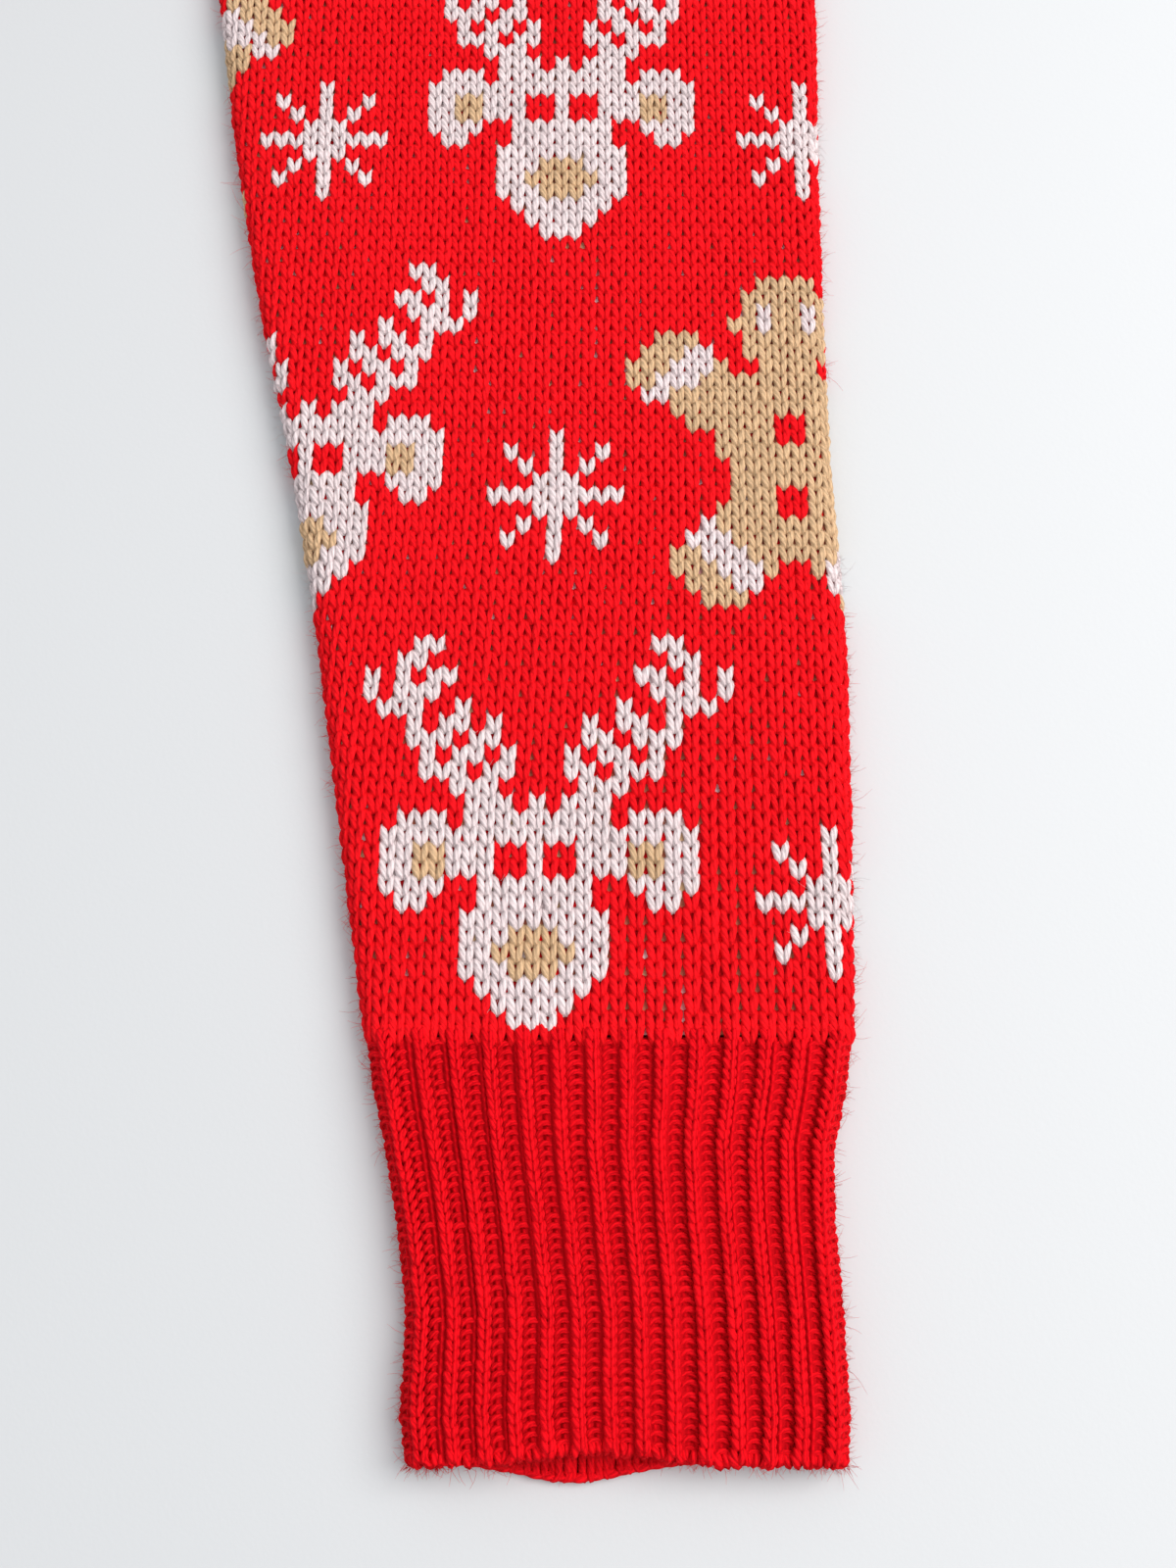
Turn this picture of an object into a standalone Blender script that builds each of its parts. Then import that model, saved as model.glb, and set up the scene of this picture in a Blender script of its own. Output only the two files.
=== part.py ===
"""A knitted V-neck cardigan, buttoned and laid flat on its back.

Sizes are in millimetres until a mesh is made.  +X is the wearer's left, +Y points to the neck and
+Z is up.  While the pieces are drawn, y = 0 is the height of the neck points; the finished object
has its origin under the middle of its bounding box, on the surface that it lies on.
"""

import math

import bmesh
import bpy
import numpy as np

MM = 0.001
SEAM_GAP = 0.3

# The body: a medium size, half chest 500 mm, measured flat.
BODY_LENGTH = 620.0
HEM_HEIGHT = 70.0
SHOULDER_TIP = (195.0, -38.0)
ARMPIT = (245.0, -228.0)
ARMHOLE_BENDS = ((220.0, -192.0), (190.0, -120.0))
NECK_POINT = (92.0, -4.0)
NECK_SCOOP = 20.0
SCOOP_STEPS = 14
NECKBAND_TOP = 12.0

# The side seam, from the hem's lower edge to the armpit.
SIDE_SEAM = (
    # height, half_width
    (-620.0, 236.0),
    (-590.0, 237.5),
    (-550.0, 245.0),
    (-400.0, 247.0),
    (-262.0, 249.0),
)

# The ribbed bands.
BAND_WIDTH = 34.0
BAND_RIBS = 5
V_START = -250.0
V_BEND = (22.0, -205.0)

# Layers: what lies on the surface, and the height at which each layer above it starts.
CLOTH = 2.5
FRONT_BASE = CLOTH + SEAM_GAP
RIB_WALL = 2.2
RIB_HEIGHT = 0.8
RIB_PITCH = 6.25
OVERLAP_RISE = RIB_WALL + RIB_HEIGHT + SEAM_GAP
OVERLAP_RAMP = 30.0
OVERLAP_ENDS = (-162.0, -95.0)
SEAM_EDGE_DROP = 0.8
NECKBAND_WALL = 1.8
NECKBAND_RIB = 0.7

# The sleeve: its line runs from the cuff's mouth towards the shoulder, turned away from the body.
SLEEVE_ANGLE = math.radians(40.0)
SLEEVE_ARMPIT_ALONG = 427.0
SLEEVE_ARMPIT_ACROSS = -107.0
SLEEVE_HEIGHT = 7.4
SLEEVE_FLAT_HEIGHT = 2 * CLOTH + SEAM_GAP
FOLD_REACH = 5.0
INNER_FOLD_REACH = 3.0
SLEEVE_RINGS = 20
CUFF_TOP = 83.5
RING_STEPS = 12

# Two edges of the sleeve: the underarm fold and the outer fold.  Along is the distance from the
# cuff's mouth, across the distance from the sleeve's line.  The armhole is the row above these.
SLEEVE_EDGES = (
    # underarm_along, underarm_across, outer_along, outer_across
    (399.0, -102.0, 522.0, 31.0),
    (371.0, -97.2, 446.0, 54.0),
    (342.0, -91.8, 385.0, 57.0),
    (300.0, -85.4, 322.0, 55.8),
    (258.0, -77.6, 268.0, 55.0),
    (213.0, -67.6, 216.0, 55.2),
    (174.0, -60.4, 175.0, 56.8),
    (138.0, -54.8, 138.0, 56.4),
    (103.0, -49.4, 103.0, 55.6),
    (CUFF_TOP, -46.2, CUFF_TOP, 54.8),
)

# The cuff's two folds.
CUFF_EDGES = (
    # along, underarm_across, outer_across
    (CUFF_TOP - SEAM_GAP, -46.0, 54.6),
    (73.0, -44.2, 53.0),
    (61.0, -41.4, 50.0),
    (47.0, -38.6, 49.5),
    (28.0, -36.0, 50.4),
    (9.0, -36.6, 51.1),
    (0.0, -35.3, 50.2),
)
CUFF_RIBS = 14
CUFF_RIB_HEIGHT = 0.9
CUFF_UNDERSIDE_STEPS = 10
MOUTH_REACH = 4.5
MOUTH_REACH_MIDDLE = 0.42
MOUTH_REACH_SPREAD = 0.36
MOUTH_REACH_LENGTH = 25.0

# Soft creases of the upper layer, as ridges (height above nought) or troughs.
CREASES = (
    # x, y, turn_degrees, half_length, half_width, height
    (178.0, -176.0, 128.0, 78.0, 17.0, 1.8),
    (150.0, -330.0, 100.0, 120.0, 24.0, 1.3),
    (92.0, -455.0, 78.0, 92.0, 20.0, 1.1),
    (292.0, -214.0, -44.0, 74.0, 15.0, 1.5),
    (330.0, -196.0, -62.0, 58.0, 16.0, 1.2),
    (-184.0, -170.0, 56.0, 70.0, 18.0, 1.7),
    (-128.0, -372.0, 84.0, 130.0, 22.0, 1.2),
    (-205.0, -468.0, 72.0, 66.0, 18.0, 1.0),
    (-302.0, -222.0, 40.0, 82.0, 14.0, 1.5),
    (-392.0, -262.0, 74.0, 56.0, 18.0, 1.4),
    (-452.0, -352.0, 30.0, 70.0, 15.0, 1.1),
    (-118.0, -118.0, 75.0, 62.0, 16.0, 1.1),
    (132.0, -92.0, 112.0, 54.0, 15.0, 1.2),
)

# The buttons.
BUTTON_COUNT = 5
FIRST_BUTTON = -268.0
BUTTON_SPACING = 82.0
BUTTON_DIAMETER = 20.0
BUTTON_THICKNESS = 3.5
BUTTON_BEVEL = 0.8
BUTTON_SIDES = 20
BUTTON_HOLE_DIAMETER = 2.2
BUTTON_HOLE_SPACING = 4.4
BUTTON_HOLE_SIDES = 6

ORIGIN_Y = (NECKBAND_TOP - BODY_LENGTH) / 2

# name, colour as linear red, green and blue, roughness
KNIT_RED = ("jacquard_knit_red", (0.76, 0.010, 0.016), 0.85)
RIB_RED = ("rib_knit_red", (0.60, 0.005, 0.012), 0.85)
BUTTON_RED = ("button_red", (0.42, 0.006, 0.010), 0.30)


def clear_scene():
    for thing in list(bpy.data.objects):
        bpy.data.objects.remove(thing, do_unlink=True)


def material(finish):
    name, colour, roughness = finish
    found = bpy.data.materials.get(name)
    if found:
        return found
    made = bpy.data.materials.new(name)
    made.use_nodes = True
    shader = made.node_tree.nodes["Principled BSDF"]
    shader.inputs["Base Color"].default_value = (*colour, 1.0)
    shader.inputs["Roughness"].default_value = roughness
    shader.inputs["Metallic"].default_value = 0.0
    return made


def place(name, mesh, finish):
    mesh.materials.append(material(finish))
    thing = bpy.data.objects.new(name, mesh)
    bpy.context.scene.collection.objects.link(thing)
    return thing


def smoothstep(value):
    """Nought to one with level ends."""
    held = np.clip(value, 0.0, 1.0)
    return held * held * (3.0 - 2.0 * held)


def lift(x, y):
    """Height of the upper layer's creases: each is a squared cosine along and across its line."""
    total = np.zeros_like(x)
    for centre_x, centre_y, turn, half_length, half_width, height in CREASES:
        angle = math.radians(turn)
        along = ((x - centre_x) * math.cos(angle) + (y - centre_y) * math.sin(angle)) / half_length
        across = ((y - centre_y) * math.cos(angle) - (x - centre_x) * math.sin(angle)) / half_width
        along_wave = np.cos(np.clip(along, -1, 1) * math.pi / 2) ** 2
        across_wave = np.cos(np.clip(across, -1, 1) * math.pi / 2) ** 2
        total += height * along_wave * across_wave
    return total


def bezier(start, first_bend, second_bend, end, steps):
    """Points on a cubic curve at the given parameters."""
    t = np.asarray(steps)[:, None]
    parts = (np.array(point) for point in (start, first_bend, second_bend, end))
    a, b, c, d = parts
    return (1 - t) ** 3 * a + 3 * (1 - t) ** 2 * t * b + 3 * (1 - t) * t ** 2 * c + t ** 3 * d


def cosine_steps(count):
    """Numbers from nought to one, close together at both ends."""
    return (1.0 - np.cos(np.linspace(0.0, math.pi, count))) / 2.0


# ---------------------------------------------------------------------------------------------
# Closed walls from grids of points
# ---------------------------------------------------------------------------------------------

def zip_edges(first, first_steps, second, second_steps):
    """Triangles between two rows of point numbers, which advance by the smaller next step."""
    faces = []
    i = j = 0
    while i < len(first) - 1 or j < len(second) - 1:
        first_next = first_steps[i + 1] if i < len(first) - 1 else math.inf
        second_next = second_steps[j + 1] if j < len(second) - 1 else math.inf
        if first_next <= second_next:
            faces.append((first[i], first[i + 1], second[j]))
            i += 1
        else:
            faces.append((first[i], second[j + 1], second[j]))
            j += 1
    return faces


def closed_mesh(name, points, faces):
    """A mesh in metres, moved to the object's origin, with all its faces turned outwards."""
    moved = (np.asarray(points) - (0.0, ORIGIN_Y, 0.0)) * MM
    mesh = bpy.data.meshes.new(name)
    mesh.from_pydata(moved.tolist(), [], faces)
    shape = bmesh.new()
    shape.from_mesh(mesh)
    bmesh.ops.recalc_face_normals(shape, faces=shape.faces)
    bmesh.ops.triangulate(shape, faces=shape.faces)
    shape.to_mesh(mesh)
    shape.free()
    mesh.shade_smooth()
    mesh.set_sharp_from_angle(angle=math.radians(40))
    return mesh


def slab(name, top, top_steps, bottom, bottom_steps, finish):
    """A wall between a top grid and a bottom grid, which have the same number of rows."""
    rows, top_columns = top.shape[:2]
    bottom_columns = bottom.shape[1]
    top_index = np.arange(rows * top_columns).reshape(rows, top_columns)
    bottom_index = np.arange(rows * bottom_columns).reshape(rows, bottom_columns) + top_index.size
    faces = []
    for index in (top_index, bottom_index):
        corners = (index[:-1, :-1], index[:-1, 1:], index[1:, 1:], index[1:, :-1])
        faces += np.stack(corners, axis=-1).reshape(-1, 4).tolist()
    for column in (0, -1):
        upper, lower = top_index[:, column], bottom_index[:, column]
        corners = (upper[:-1], upper[1:], lower[1:], lower[:-1])
        faces += np.stack(corners, axis=-1).tolist()
    for row in (-1, 0):
        faces += zip_edges(top_index[row].tolist(), top_steps, bottom_index[row].tolist(), bottom_steps)
    points = np.concatenate((top.reshape(-1, 3), bottom.reshape(-1, 3)))
    return place(name, closed_mesh(name, points, faces), finish)


def tube(name, outer, outer_steps, inner, inner_steps, finish):
    """A wall between outer rings and inner rings, open at both ends; rings close on themselves."""
    faces = []
    start = 0
    numbers = []
    for rings in (outer, inner):
        count, around = rings.shape[:2]
        index = np.arange(count * around).reshape(count, around) + start
        index = np.concatenate((index, index[:, :1]), axis=1)
        corners = (index[:-1, :-1], index[:-1, 1:], index[1:, 1:], index[1:, :-1])
        faces += np.stack(corners, axis=-1).reshape(-1, 4).tolist()
        numbers.append(index)
        start += count * around
    for row in (0, -1):
        faces += zip_edges(numbers[0][row].tolist(), [*outer_steps, 1.0],
                           numbers[1][row].tolist(), [*inner_steps, 1.0])
    points = np.concatenate((outer.reshape(-1, 3), inner.reshape(-1, 3)))
    return place(name, closed_mesh(name, points, faces), finish)


def rib_steps(count):
    """Steps across a ribbed wall, four to a rib, with nought and one at its edges."""
    phases = np.array((0.18, 0.34, 0.66, 0.82))
    inside = (np.arange(count)[:, None] + phases).ravel() / count
    return np.concatenate(((0.0,), inside, (1.0,)))


def rib_crest(count):
    """One on a rib's crest and nought in its valleys, for the points of rib_steps."""
    return np.concatenate(((0.0,), np.tile((0.0, 1.0, 1.0, 0.0), count), (0.0,)))


# ---------------------------------------------------------------------------------------------
# The body
# ---------------------------------------------------------------------------------------------

def armhole():
    """The armhole seam from the armpit to the shoulder tip."""
    return bezier(ARMPIT, *ARMHOLE_BENDS, SHOULDER_TIP, cosine_steps(RING_STEPS))


def side_points(heights):
    """Points on the side seam at the given heights."""
    known = np.array(SIDE_SEAM)
    return np.column_stack((np.interp(heights, known[:, 0], known[:, 1]), heights))


def front_edge(low_heights):
    """The seam between a front and its band: up the centre, then along the V to the neck point."""
    straight = np.column_stack((np.full(len(low_heights), BAND_WIDTH / 2), low_heights))
    v_line = bezier((BAND_WIDTH / 2, V_START), V_BEND, NECK_POINT, NECK_POINT, cosine_steps(RING_STEPS))
    return np.concatenate((straight, v_line))


def overlap(y):
    """One where the right band lies on the left one, falling to nought above the V."""
    low, high = OVERLAP_ENDS
    return 1.0 - smoothstep((y - low) / (high - low))


def front_base(side, x, y, from_band):
    """Underside of an upper piece; the right front climbs onto the left band beside the seam."""
    base = FRONT_BASE + lift(x, y)
    if side < 0:
        base = base + OVERLAP_RISE * overlap(y) * (1.0 - smoothstep(from_band / OVERLAP_RAMP))
    return base


def grid_between(inner, outer, steps):
    """Rows of plan points from an inner edge to an outer edge."""
    return inner[:, None, :] + (outer - inner)[:, None, :] * np.asarray(steps)[None, :, None]


def raised(plan, height):
    """Plan points with a height."""
    return np.dstack((plan, np.broadcast_to(height, plan.shape[:2])))


def make_front(name, side):
    low_heights = np.linspace(-BODY_LENGTH + HEM_HEIGHT, SIDE_SEAM[-1][0], 7)
    steps = np.array((0, 0.03, 0.07, 0.12, 0.2, 0.31, 0.43, 0.56, 0.69, 0.81, 0.91, 0.97, 1.0))
    inner = front_edge(low_heights)
    outer = np.concatenate((side_points(low_heights), armhole()))
    plan = grid_between(inner, outer, steps)
    from_band = np.linalg.norm(plan - inner[:, None, :], axis=2)
    plan[:, :, 0] *= side
    base = front_base(side, plan[:, :, 0], plan[:, :, 1], from_band)
    drop = np.zeros(base.shape)
    drop[:len(low_heights), -1] = SEAM_EDGE_DROP
    drop[-1, 1:] = SEAM_EDGE_DROP
    slab(name, raised(plan, base + CLOTH - drop), steps, raised(plan, base), steps, KNIT_RED)


def make_back(name):
    scoop_angles = np.linspace(math.pi, 0.0, SCOOP_STEPS)
    scoop_x = NECK_POINT[0] * np.cos(scoop_angles)
    scoop_y = NECK_POINT[1] - NECK_SCOOP * np.sin(scoop_angles)
    mid_x = (SHOULDER_TIP[0] + NECK_POINT[0]) / 2
    mid_y = (SHOULDER_TIP[1] + NECK_POINT[1]) / 2
    top_x = np.concatenate(((-SHOULDER_TIP[0], -mid_x), scoop_x, (mid_x, SHOULDER_TIP[0])))
    top_y = np.concatenate(((SHOULDER_TIP[1], mid_y), scoop_y, (mid_y, SHOULDER_TIP[1])))
    low_heights = np.linspace(-BODY_LENGTH + HEM_HEIGHT, SIDE_SEAM[-1][0], 4)
    outer = np.concatenate((side_points(low_heights), armhole()))
    steps = top_x / SHOULDER_TIP[0]
    shoulder_share = smoothstep((outer[:, 1] - ARMPIT[1]) / (SHOULDER_TIP[1] - ARMPIT[1]))
    x = outer[:, :1] * steps[None, :]
    y = outer[:, 1:] + shoulder_share[:, None] * (top_y - SHOULDER_TIP[1])[None, :]
    plan = np.dstack((x, y))
    slab(name, raised(plan, CLOTH), steps, raised(plan, 0.0), steps, KNIT_RED)


def make_hem_back(name):
    heights = np.array([row[0] for row in SIDE_SEAM[:3]])
    outer = side_points(heights)
    outer[-1, 1] -= SEAM_GAP
    steps = np.linspace(0.0, 1.0, 7)
    plan = grid_between(outer * (-1.0, 1.0), outer, steps)
    slab(name, raised(plan, CLOTH), steps, raised(plan, 0.0), steps, RIB_RED)


def make_hem_front(name, side):
    heights = np.array([row[0] for row in SIDE_SEAM[:3]])
    outer = side_points(heights)
    outer[-1, 1] -= SEAM_GAP
    inner = np.column_stack((np.full(3, BAND_WIDTH / 2), outer[:, 1]))
    ribs = round((outer[0, 0] - inner[0, 0]) / RIB_PITCH)
    top_steps, bottom_steps = rib_steps(ribs), np.array((0.0, 0.05, 0.1, 0.15, 0.5, 1.0))
    walls = []
    for steps in (top_steps, bottom_steps):
        plan = grid_between(inner, outer, steps)
        from_band = np.linalg.norm(plan - inner[:, None, :], axis=2)
        plan[:, :, 0] *= side
        walls.append((plan, front_base(side, plan[:, :, 0], plan[:, :, 1], from_band)))
    (top_plan, top_base), (bottom_plan, bottom_base) = walls
    top = raised(top_plan, top_base + RIB_WALL + RIB_HEIGHT * rib_crest(ribs)[None, :])
    slab(name, top, top_steps, raised(bottom_plan, bottom_base), bottom_steps, RIB_RED)


def make_band(name, side):
    low_heights = np.linspace(-BODY_LENGTH, V_START - 12.0, 6)
    seam = front_edge(low_heights)
    ahead = np.gradient(seam, axis=0)
    ahead /= np.linalg.norm(ahead, axis=1)[:, None]
    away = np.column_stack((-ahead[:, 1], ahead[:, 0]))
    top_steps, bottom_steps = rib_steps(BAND_RIBS), np.array((0.0, 0.5, 1.0))
    inner, outer = seam + away * SEAM_GAP, seam + away * BAND_WIDTH
    top_plan, bottom_plan = (grid_between(inner, outer, steps) for steps in (top_steps, bottom_steps))
    base = np.full((len(seam), 1), FRONT_BASE)
    if side < 0:
        base = base + OVERLAP_RISE * overlap(seam[:, 1:])
    for plan in (top_plan, bottom_plan):
        plan[:, :, 0] *= side
    top = raised(top_plan, base + RIB_WALL + RIB_HEIGHT * rib_crest(BAND_RIBS)[None, :])
    slab(name, top, top_steps, raised(bottom_plan, base), bottom_steps, RIB_RED)


def make_neckband(name):
    angles = np.linspace(0.0, math.pi, SCOOP_STEPS)
    seam = np.column_stack((NECK_POINT[0] * np.cos(angles), NECK_POINT[1] - NECK_SCOOP * np.sin(angles)))
    v_end = front_edge(())[-2:]
    ahead = (v_end[1] - v_end[0]) / np.linalg.norm(v_end[1] - v_end[0])
    end_x = NECK_POINT[0] - ahead[1] * BAND_WIDTH
    end_y = NECK_POINT[1] + ahead[0] * BAND_WIDTH
    free = np.column_stack((end_x * np.cos(angles), end_y + (NECKBAND_TOP - end_y) * np.sin(angles)))
    across = free - seam
    seam = seam + SEAM_GAP * across / np.linalg.norm(across, axis=1)[:, None]
    top_steps, bottom_steps = rib_steps(BAND_RIBS), np.array((0.0, 1.0))
    top = raised(grid_between(seam, free, top_steps), NECKBAND_WALL + NECKBAND_RIB * rib_crest(BAND_RIBS))
    bottom = raised(grid_between(seam, free, bottom_steps), 0.0)
    slab(name, top, top_steps, bottom, bottom_steps, RIB_RED)


# ---------------------------------------------------------------------------------------------
# The sleeves and their cuffs: flattened tubes
# ---------------------------------------------------------------------------------------------

def sleeve_axes():
    """The sleeve line's start at the cuff's mouth, its direction up the arm and across it."""
    up = np.array((-math.sin(SLEEVE_ANGLE), math.cos(SLEEVE_ANGLE)))
    across = np.array((math.cos(SLEEVE_ANGLE), math.sin(SLEEVE_ANGLE)))
    mouth = np.array(ARMPIT) - up * SLEEVE_ARMPIT_ALONG - across * SLEEVE_ARMPIT_ACROSS
    return mouth, up, across


def sleeve_point(along, across):
    """Plan points from distances along and across the sleeve's line."""
    mouth, up, sideways = sleeve_axes()
    return mouth + np.multiply.outer(along, up) + np.multiply.outer(across, sideways)


def smooth_rows(rows, count):
    """Rows of numbers resampled on a smooth curve through them (cubic, with averaged slopes)."""
    rows = np.asarray(rows, dtype=float)
    slopes = np.gradient(rows, axis=0)
    where = np.linspace(0.0, len(rows) - 1.0, count)
    left = np.minimum(where.astype(int), len(rows) - 2)
    t = (where - left)[:, None]
    start, end = rows[left], rows[left + 1]
    start_slope, end_slope = slopes[left], slopes[left + 1]
    return ((2 * t ** 3 - 3 * t ** 2 + 1) * start + (t ** 3 - 2 * t ** 2 + t) * start_slope
            + (3 * t ** 2 - 2 * t ** 3) * end + (t ** 3 - t ** 2) * end_slope)


def fold_profile(from_fold, reach):
    """A quarter of an ellipse: nought at the fold and one from the given reach inwards."""
    return np.sqrt(1.0 - np.clip(1.0 - from_fold / reach, 0.0, 1.0) ** 2)


def ring_grid(line, steps, side, bottom_z, top_z, reach):
    """One wall face of a flattened tube: over the top from fold to fold and back underneath.

    line gives plan points for a row and a step, and bottom_z and top_z are the heights away from
    the folds; towards a fold both close on their middle along a quarter of an ellipse.
    """
    upper_steps, lower_steps = steps
    faces = []
    for own_steps, target in ((upper_steps, top_z), (lower_steps, bottom_z)):
        plan = line(own_steps)
        first, last = line(np.array((0.0,))), line(np.array((1.0,)))
        width = np.linalg.norm(last - first, axis=2)
        from_fold = np.minimum(own_steps, 1.0 - own_steps)[None, :] * width
        middle = (bottom_z[:, :1] + top_z[:, :1]) / 2
        shape = fold_profile(from_fold, reach)
        plan = plan * (side, 1.0)
        height = middle + (np.broadcast_to(target, shape.shape) - middle) * shape
        faces.append((plan, height, shape))
    return faces


def around(upper, lower):
    """Upper points from fold to fold, then the lower ones between the folds in reverse."""
    return np.concatenate((upper, lower[:, -2:0:-1]), axis=1)


def around_steps(upper_steps, lower_steps):
    """Where each ring point lies, from nought to one, half of it over the top."""
    return np.concatenate((upper_steps / 2, 1.0 - lower_steps[-2:0:-1] / 2))


def flat_tube(name, side, line, heights, upper_steps, lower_steps, ridge, finish):
    """A flattened tube along the rows of line, with an inner face one cloth inside the outer one."""
    top = heights[:, None]
    bottom = np.zeros_like(top)
    rings = []
    inner_steps = cosine_steps(RING_STEPS)
    first, last = line(np.array((0.0,))), line(np.array((1.0,)))
    inset = CLOTH / np.linalg.norm(last - first, axis=2)

    def inner_line(steps):
        kept = inset + (1.0 - 2.0 * inset) * steps[None, :]
        return line(kept)

    for own_line, steps, low, high, reach, relief in (
            (line, (upper_steps, lower_steps), bottom, top, FOLD_REACH, ridge),
            (inner_line, (inner_steps, inner_steps), bottom + CLOTH, top - CLOTH, INNER_FOLD_REACH, None)):
        upper, lower = ring_grid(own_line, steps, side, low, high, reach)
        plan, height, shape = upper
        height = height + shape * lift(plan[:, :, 0], plan[:, :, 1])
        if relief is not None:
            height = height + shape * relief[None, :]
        rings.append(around(raised(plan, height), raised(lower[0], lower[1])))
    tube(name, rings[0], around_steps(upper_steps, lower_steps),
         rings[1], around_steps(inner_steps, inner_steps), finish)


def make_sleeve(name, side):
    mouth, up, across = sleeve_axes()
    tip = np.array(SHOULDER_TIP) - mouth
    start = (SLEEVE_ARMPIT_ALONG, SLEEVE_ARMPIT_ACROSS, tip @ up, tip @ across)
    edges = smooth_rows((start, *SLEEVE_EDGES), SLEEVE_RINGS)
    under, outer = sleeve_point(edges[:, 0], edges[:, 1]), sleeve_point(edges[:, 2], edges[:, 3])
    seam = armhole()
    seam_steps = cosine_steps(RING_STEPS)
    chord = seam[0] + (seam[-1] - seam[0]) * seam_steps[:, None]
    rows = np.arange(SLEEVE_RINGS)
    bow_share = (1.0 - smoothstep(rows / 9.0))[:, None]

    def line(steps):
        steps = np.broadcast_to(steps, (SLEEVE_RINGS, np.shape(steps)[-1]))
        straight = under[:, None, :] + (outer - under)[:, None, :] * steps[:, :, None]
        bow = [np.interp(steps, seam_steps, (seam - chord)[:, axis]) for axis in (0, 1)]
        return straight + np.dstack(bow) * bow_share[:, :, None] + (SEAM_GAP, 0.0)

    heights = SLEEVE_FLAT_HEIGHT + (SLEEVE_HEIGHT - SLEEVE_FLAT_HEIGHT) * smoothstep(rows / 5.0)
    flat_tube(name, side, line, heights, seam_steps, seam_steps, None, KNIT_RED)


def make_cuff(name, side):
    edges = np.array(CUFF_EDGES)
    under, outer = sleeve_point(edges[:, 0], edges[:, 1]), sleeve_point(edges[:, 0], edges[:, 2])
    upper_steps, lower_steps = rib_steps(CUFF_RIBS), cosine_steps(CUFF_UNDERSIDE_STEPS)

    def line(steps):
        steps = np.broadcast_to(steps, (len(edges), np.shape(steps)[-1]))
        return under[:, None, :] + (outer - under)[:, None, :] * steps[:, :, None] + (SEAM_GAP, 0.0)

    heights = np.full(len(edges), SLEEVE_HEIGHT)
    ridge = CUFF_RIB_HEIGHT * rib_crest(CUFF_RIBS)
    flat_tube(name, side, line, heights, upper_steps, lower_steps, ridge, RIB_RED)
    push_out_lower_layer(bpy.data.objects[name].data, side)


def push_out_lower_layer(mesh, side):
    """The mouth's lower layer reaches past the upper one, most a little off the middle."""
    mouth, up, across = sleeve_axes()
    low_across, high_across = CUFF_EDGES[-1][1:]
    for vertex in mesh.vertices:
        spot = np.array((vertex.co.x * side, vertex.co.y)) / MM + (0.0, ORIGIN_Y) - mouth
        step = (spot @ across - low_across) / (high_across - low_across)
        nearness = 1.0 - smoothstep((spot @ up) / MOUTH_REACH_LENGTH)
        bulge = 1.0 - smoothstep(abs(step - MOUTH_REACH_MIDDLE) / MOUTH_REACH_SPREAD)
        if vertex.co.z < SLEEVE_HEIGHT * MM / 2:
            shift = -MOUTH_REACH * float(nearness * bulge) * MM
            vertex.co.x += shift * up[0] * side
            vertex.co.y += shift * up[1]


# ---------------------------------------------------------------------------------------------
# The buttons
# ---------------------------------------------------------------------------------------------

def cylinder(name, radius, depth, sides):
    shape = bmesh.new()
    bmesh.ops.create_cone(shape, cap_ends=True, segments=sides, radius1=radius * MM,
                          radius2=radius * MM, depth=depth * MM)
    mesh = bpy.data.meshes.new(name)
    shape.to_mesh(mesh)
    shape.free()
    mesh.shade_smooth()
    mesh.set_sharp_from_angle(angle=math.radians(40))
    return mesh


def button_cutter():
    """Four holes in a square, as one guide object that the buttons are cut with."""
    guide = bpy.data.objects.new("button_holes", bpy.data.meshes.new("button_holes"))
    shape = bmesh.new()
    for quarter in range(4):
        angle = math.pi / 4 + quarter * math.pi / 2
        hole = cylinder("hole", BUTTON_HOLE_DIAMETER / 2, 3 * BUTTON_THICKNESS, BUTTON_HOLE_SIDES)
        reach = BUTTON_HOLE_SPACING / math.sqrt(2) * MM
        for vertex in hole.vertices:
            vertex.co.x += reach * math.cos(angle)
            vertex.co.y += reach * math.sin(angle)
        shape.from_mesh(hole)
        bpy.data.meshes.remove(hole)
    shape.to_mesh(guide.data)
    shape.free()
    guide.hide_render = True
    guide.display_type = "WIRE"
    bpy.context.scene.collection.objects.link(guide)
    return guide


def make_buttons():
    seat = FRONT_BASE + OVERLAP_RISE + RIB_WALL + RIB_HEIGHT + SEAM_GAP
    for number in range(BUTTON_COUNT):
        name = f"button_{number + 1}"
        button = place(name, cylinder(name, BUTTON_DIAMETER / 2, BUTTON_THICKNESS, BUTTON_SIDES), BUTTON_RED)
        height = FIRST_BUTTON - number * BUTTON_SPACING - ORIGIN_Y
        button.location = (0.0, height * MM, (seat + BUTTON_THICKNESS / 2) * MM)
        guide = button_cutter()
        guide.location = button.location
        rounding = button.modifiers.new("rounded rim", "BEVEL")
        rounding.width = BUTTON_BEVEL * MM
        rounding.segments = 1
        rounding.limit_method = "ANGLE"
        cut = button.modifiers.new("thread holes", "BOOLEAN")
        cut.operation = "DIFFERENCE"
        cut.object = guide


def main():
    clear_scene()
    make_back("back")
    make_hem_back("hem_back")
    make_neckband("band_neck")
    for side, word in ((1, "left"), (-1, "right")):
        make_front(f"front_{word}", side)
        make_hem_front(f"hem_front_{word}", side)
        make_band(f"band_{word}", side)
        make_sleeve(f"sleeve_{word}", side)
        make_cuff(f"cuff_{word}", side)
    make_buttons()


main()
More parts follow.
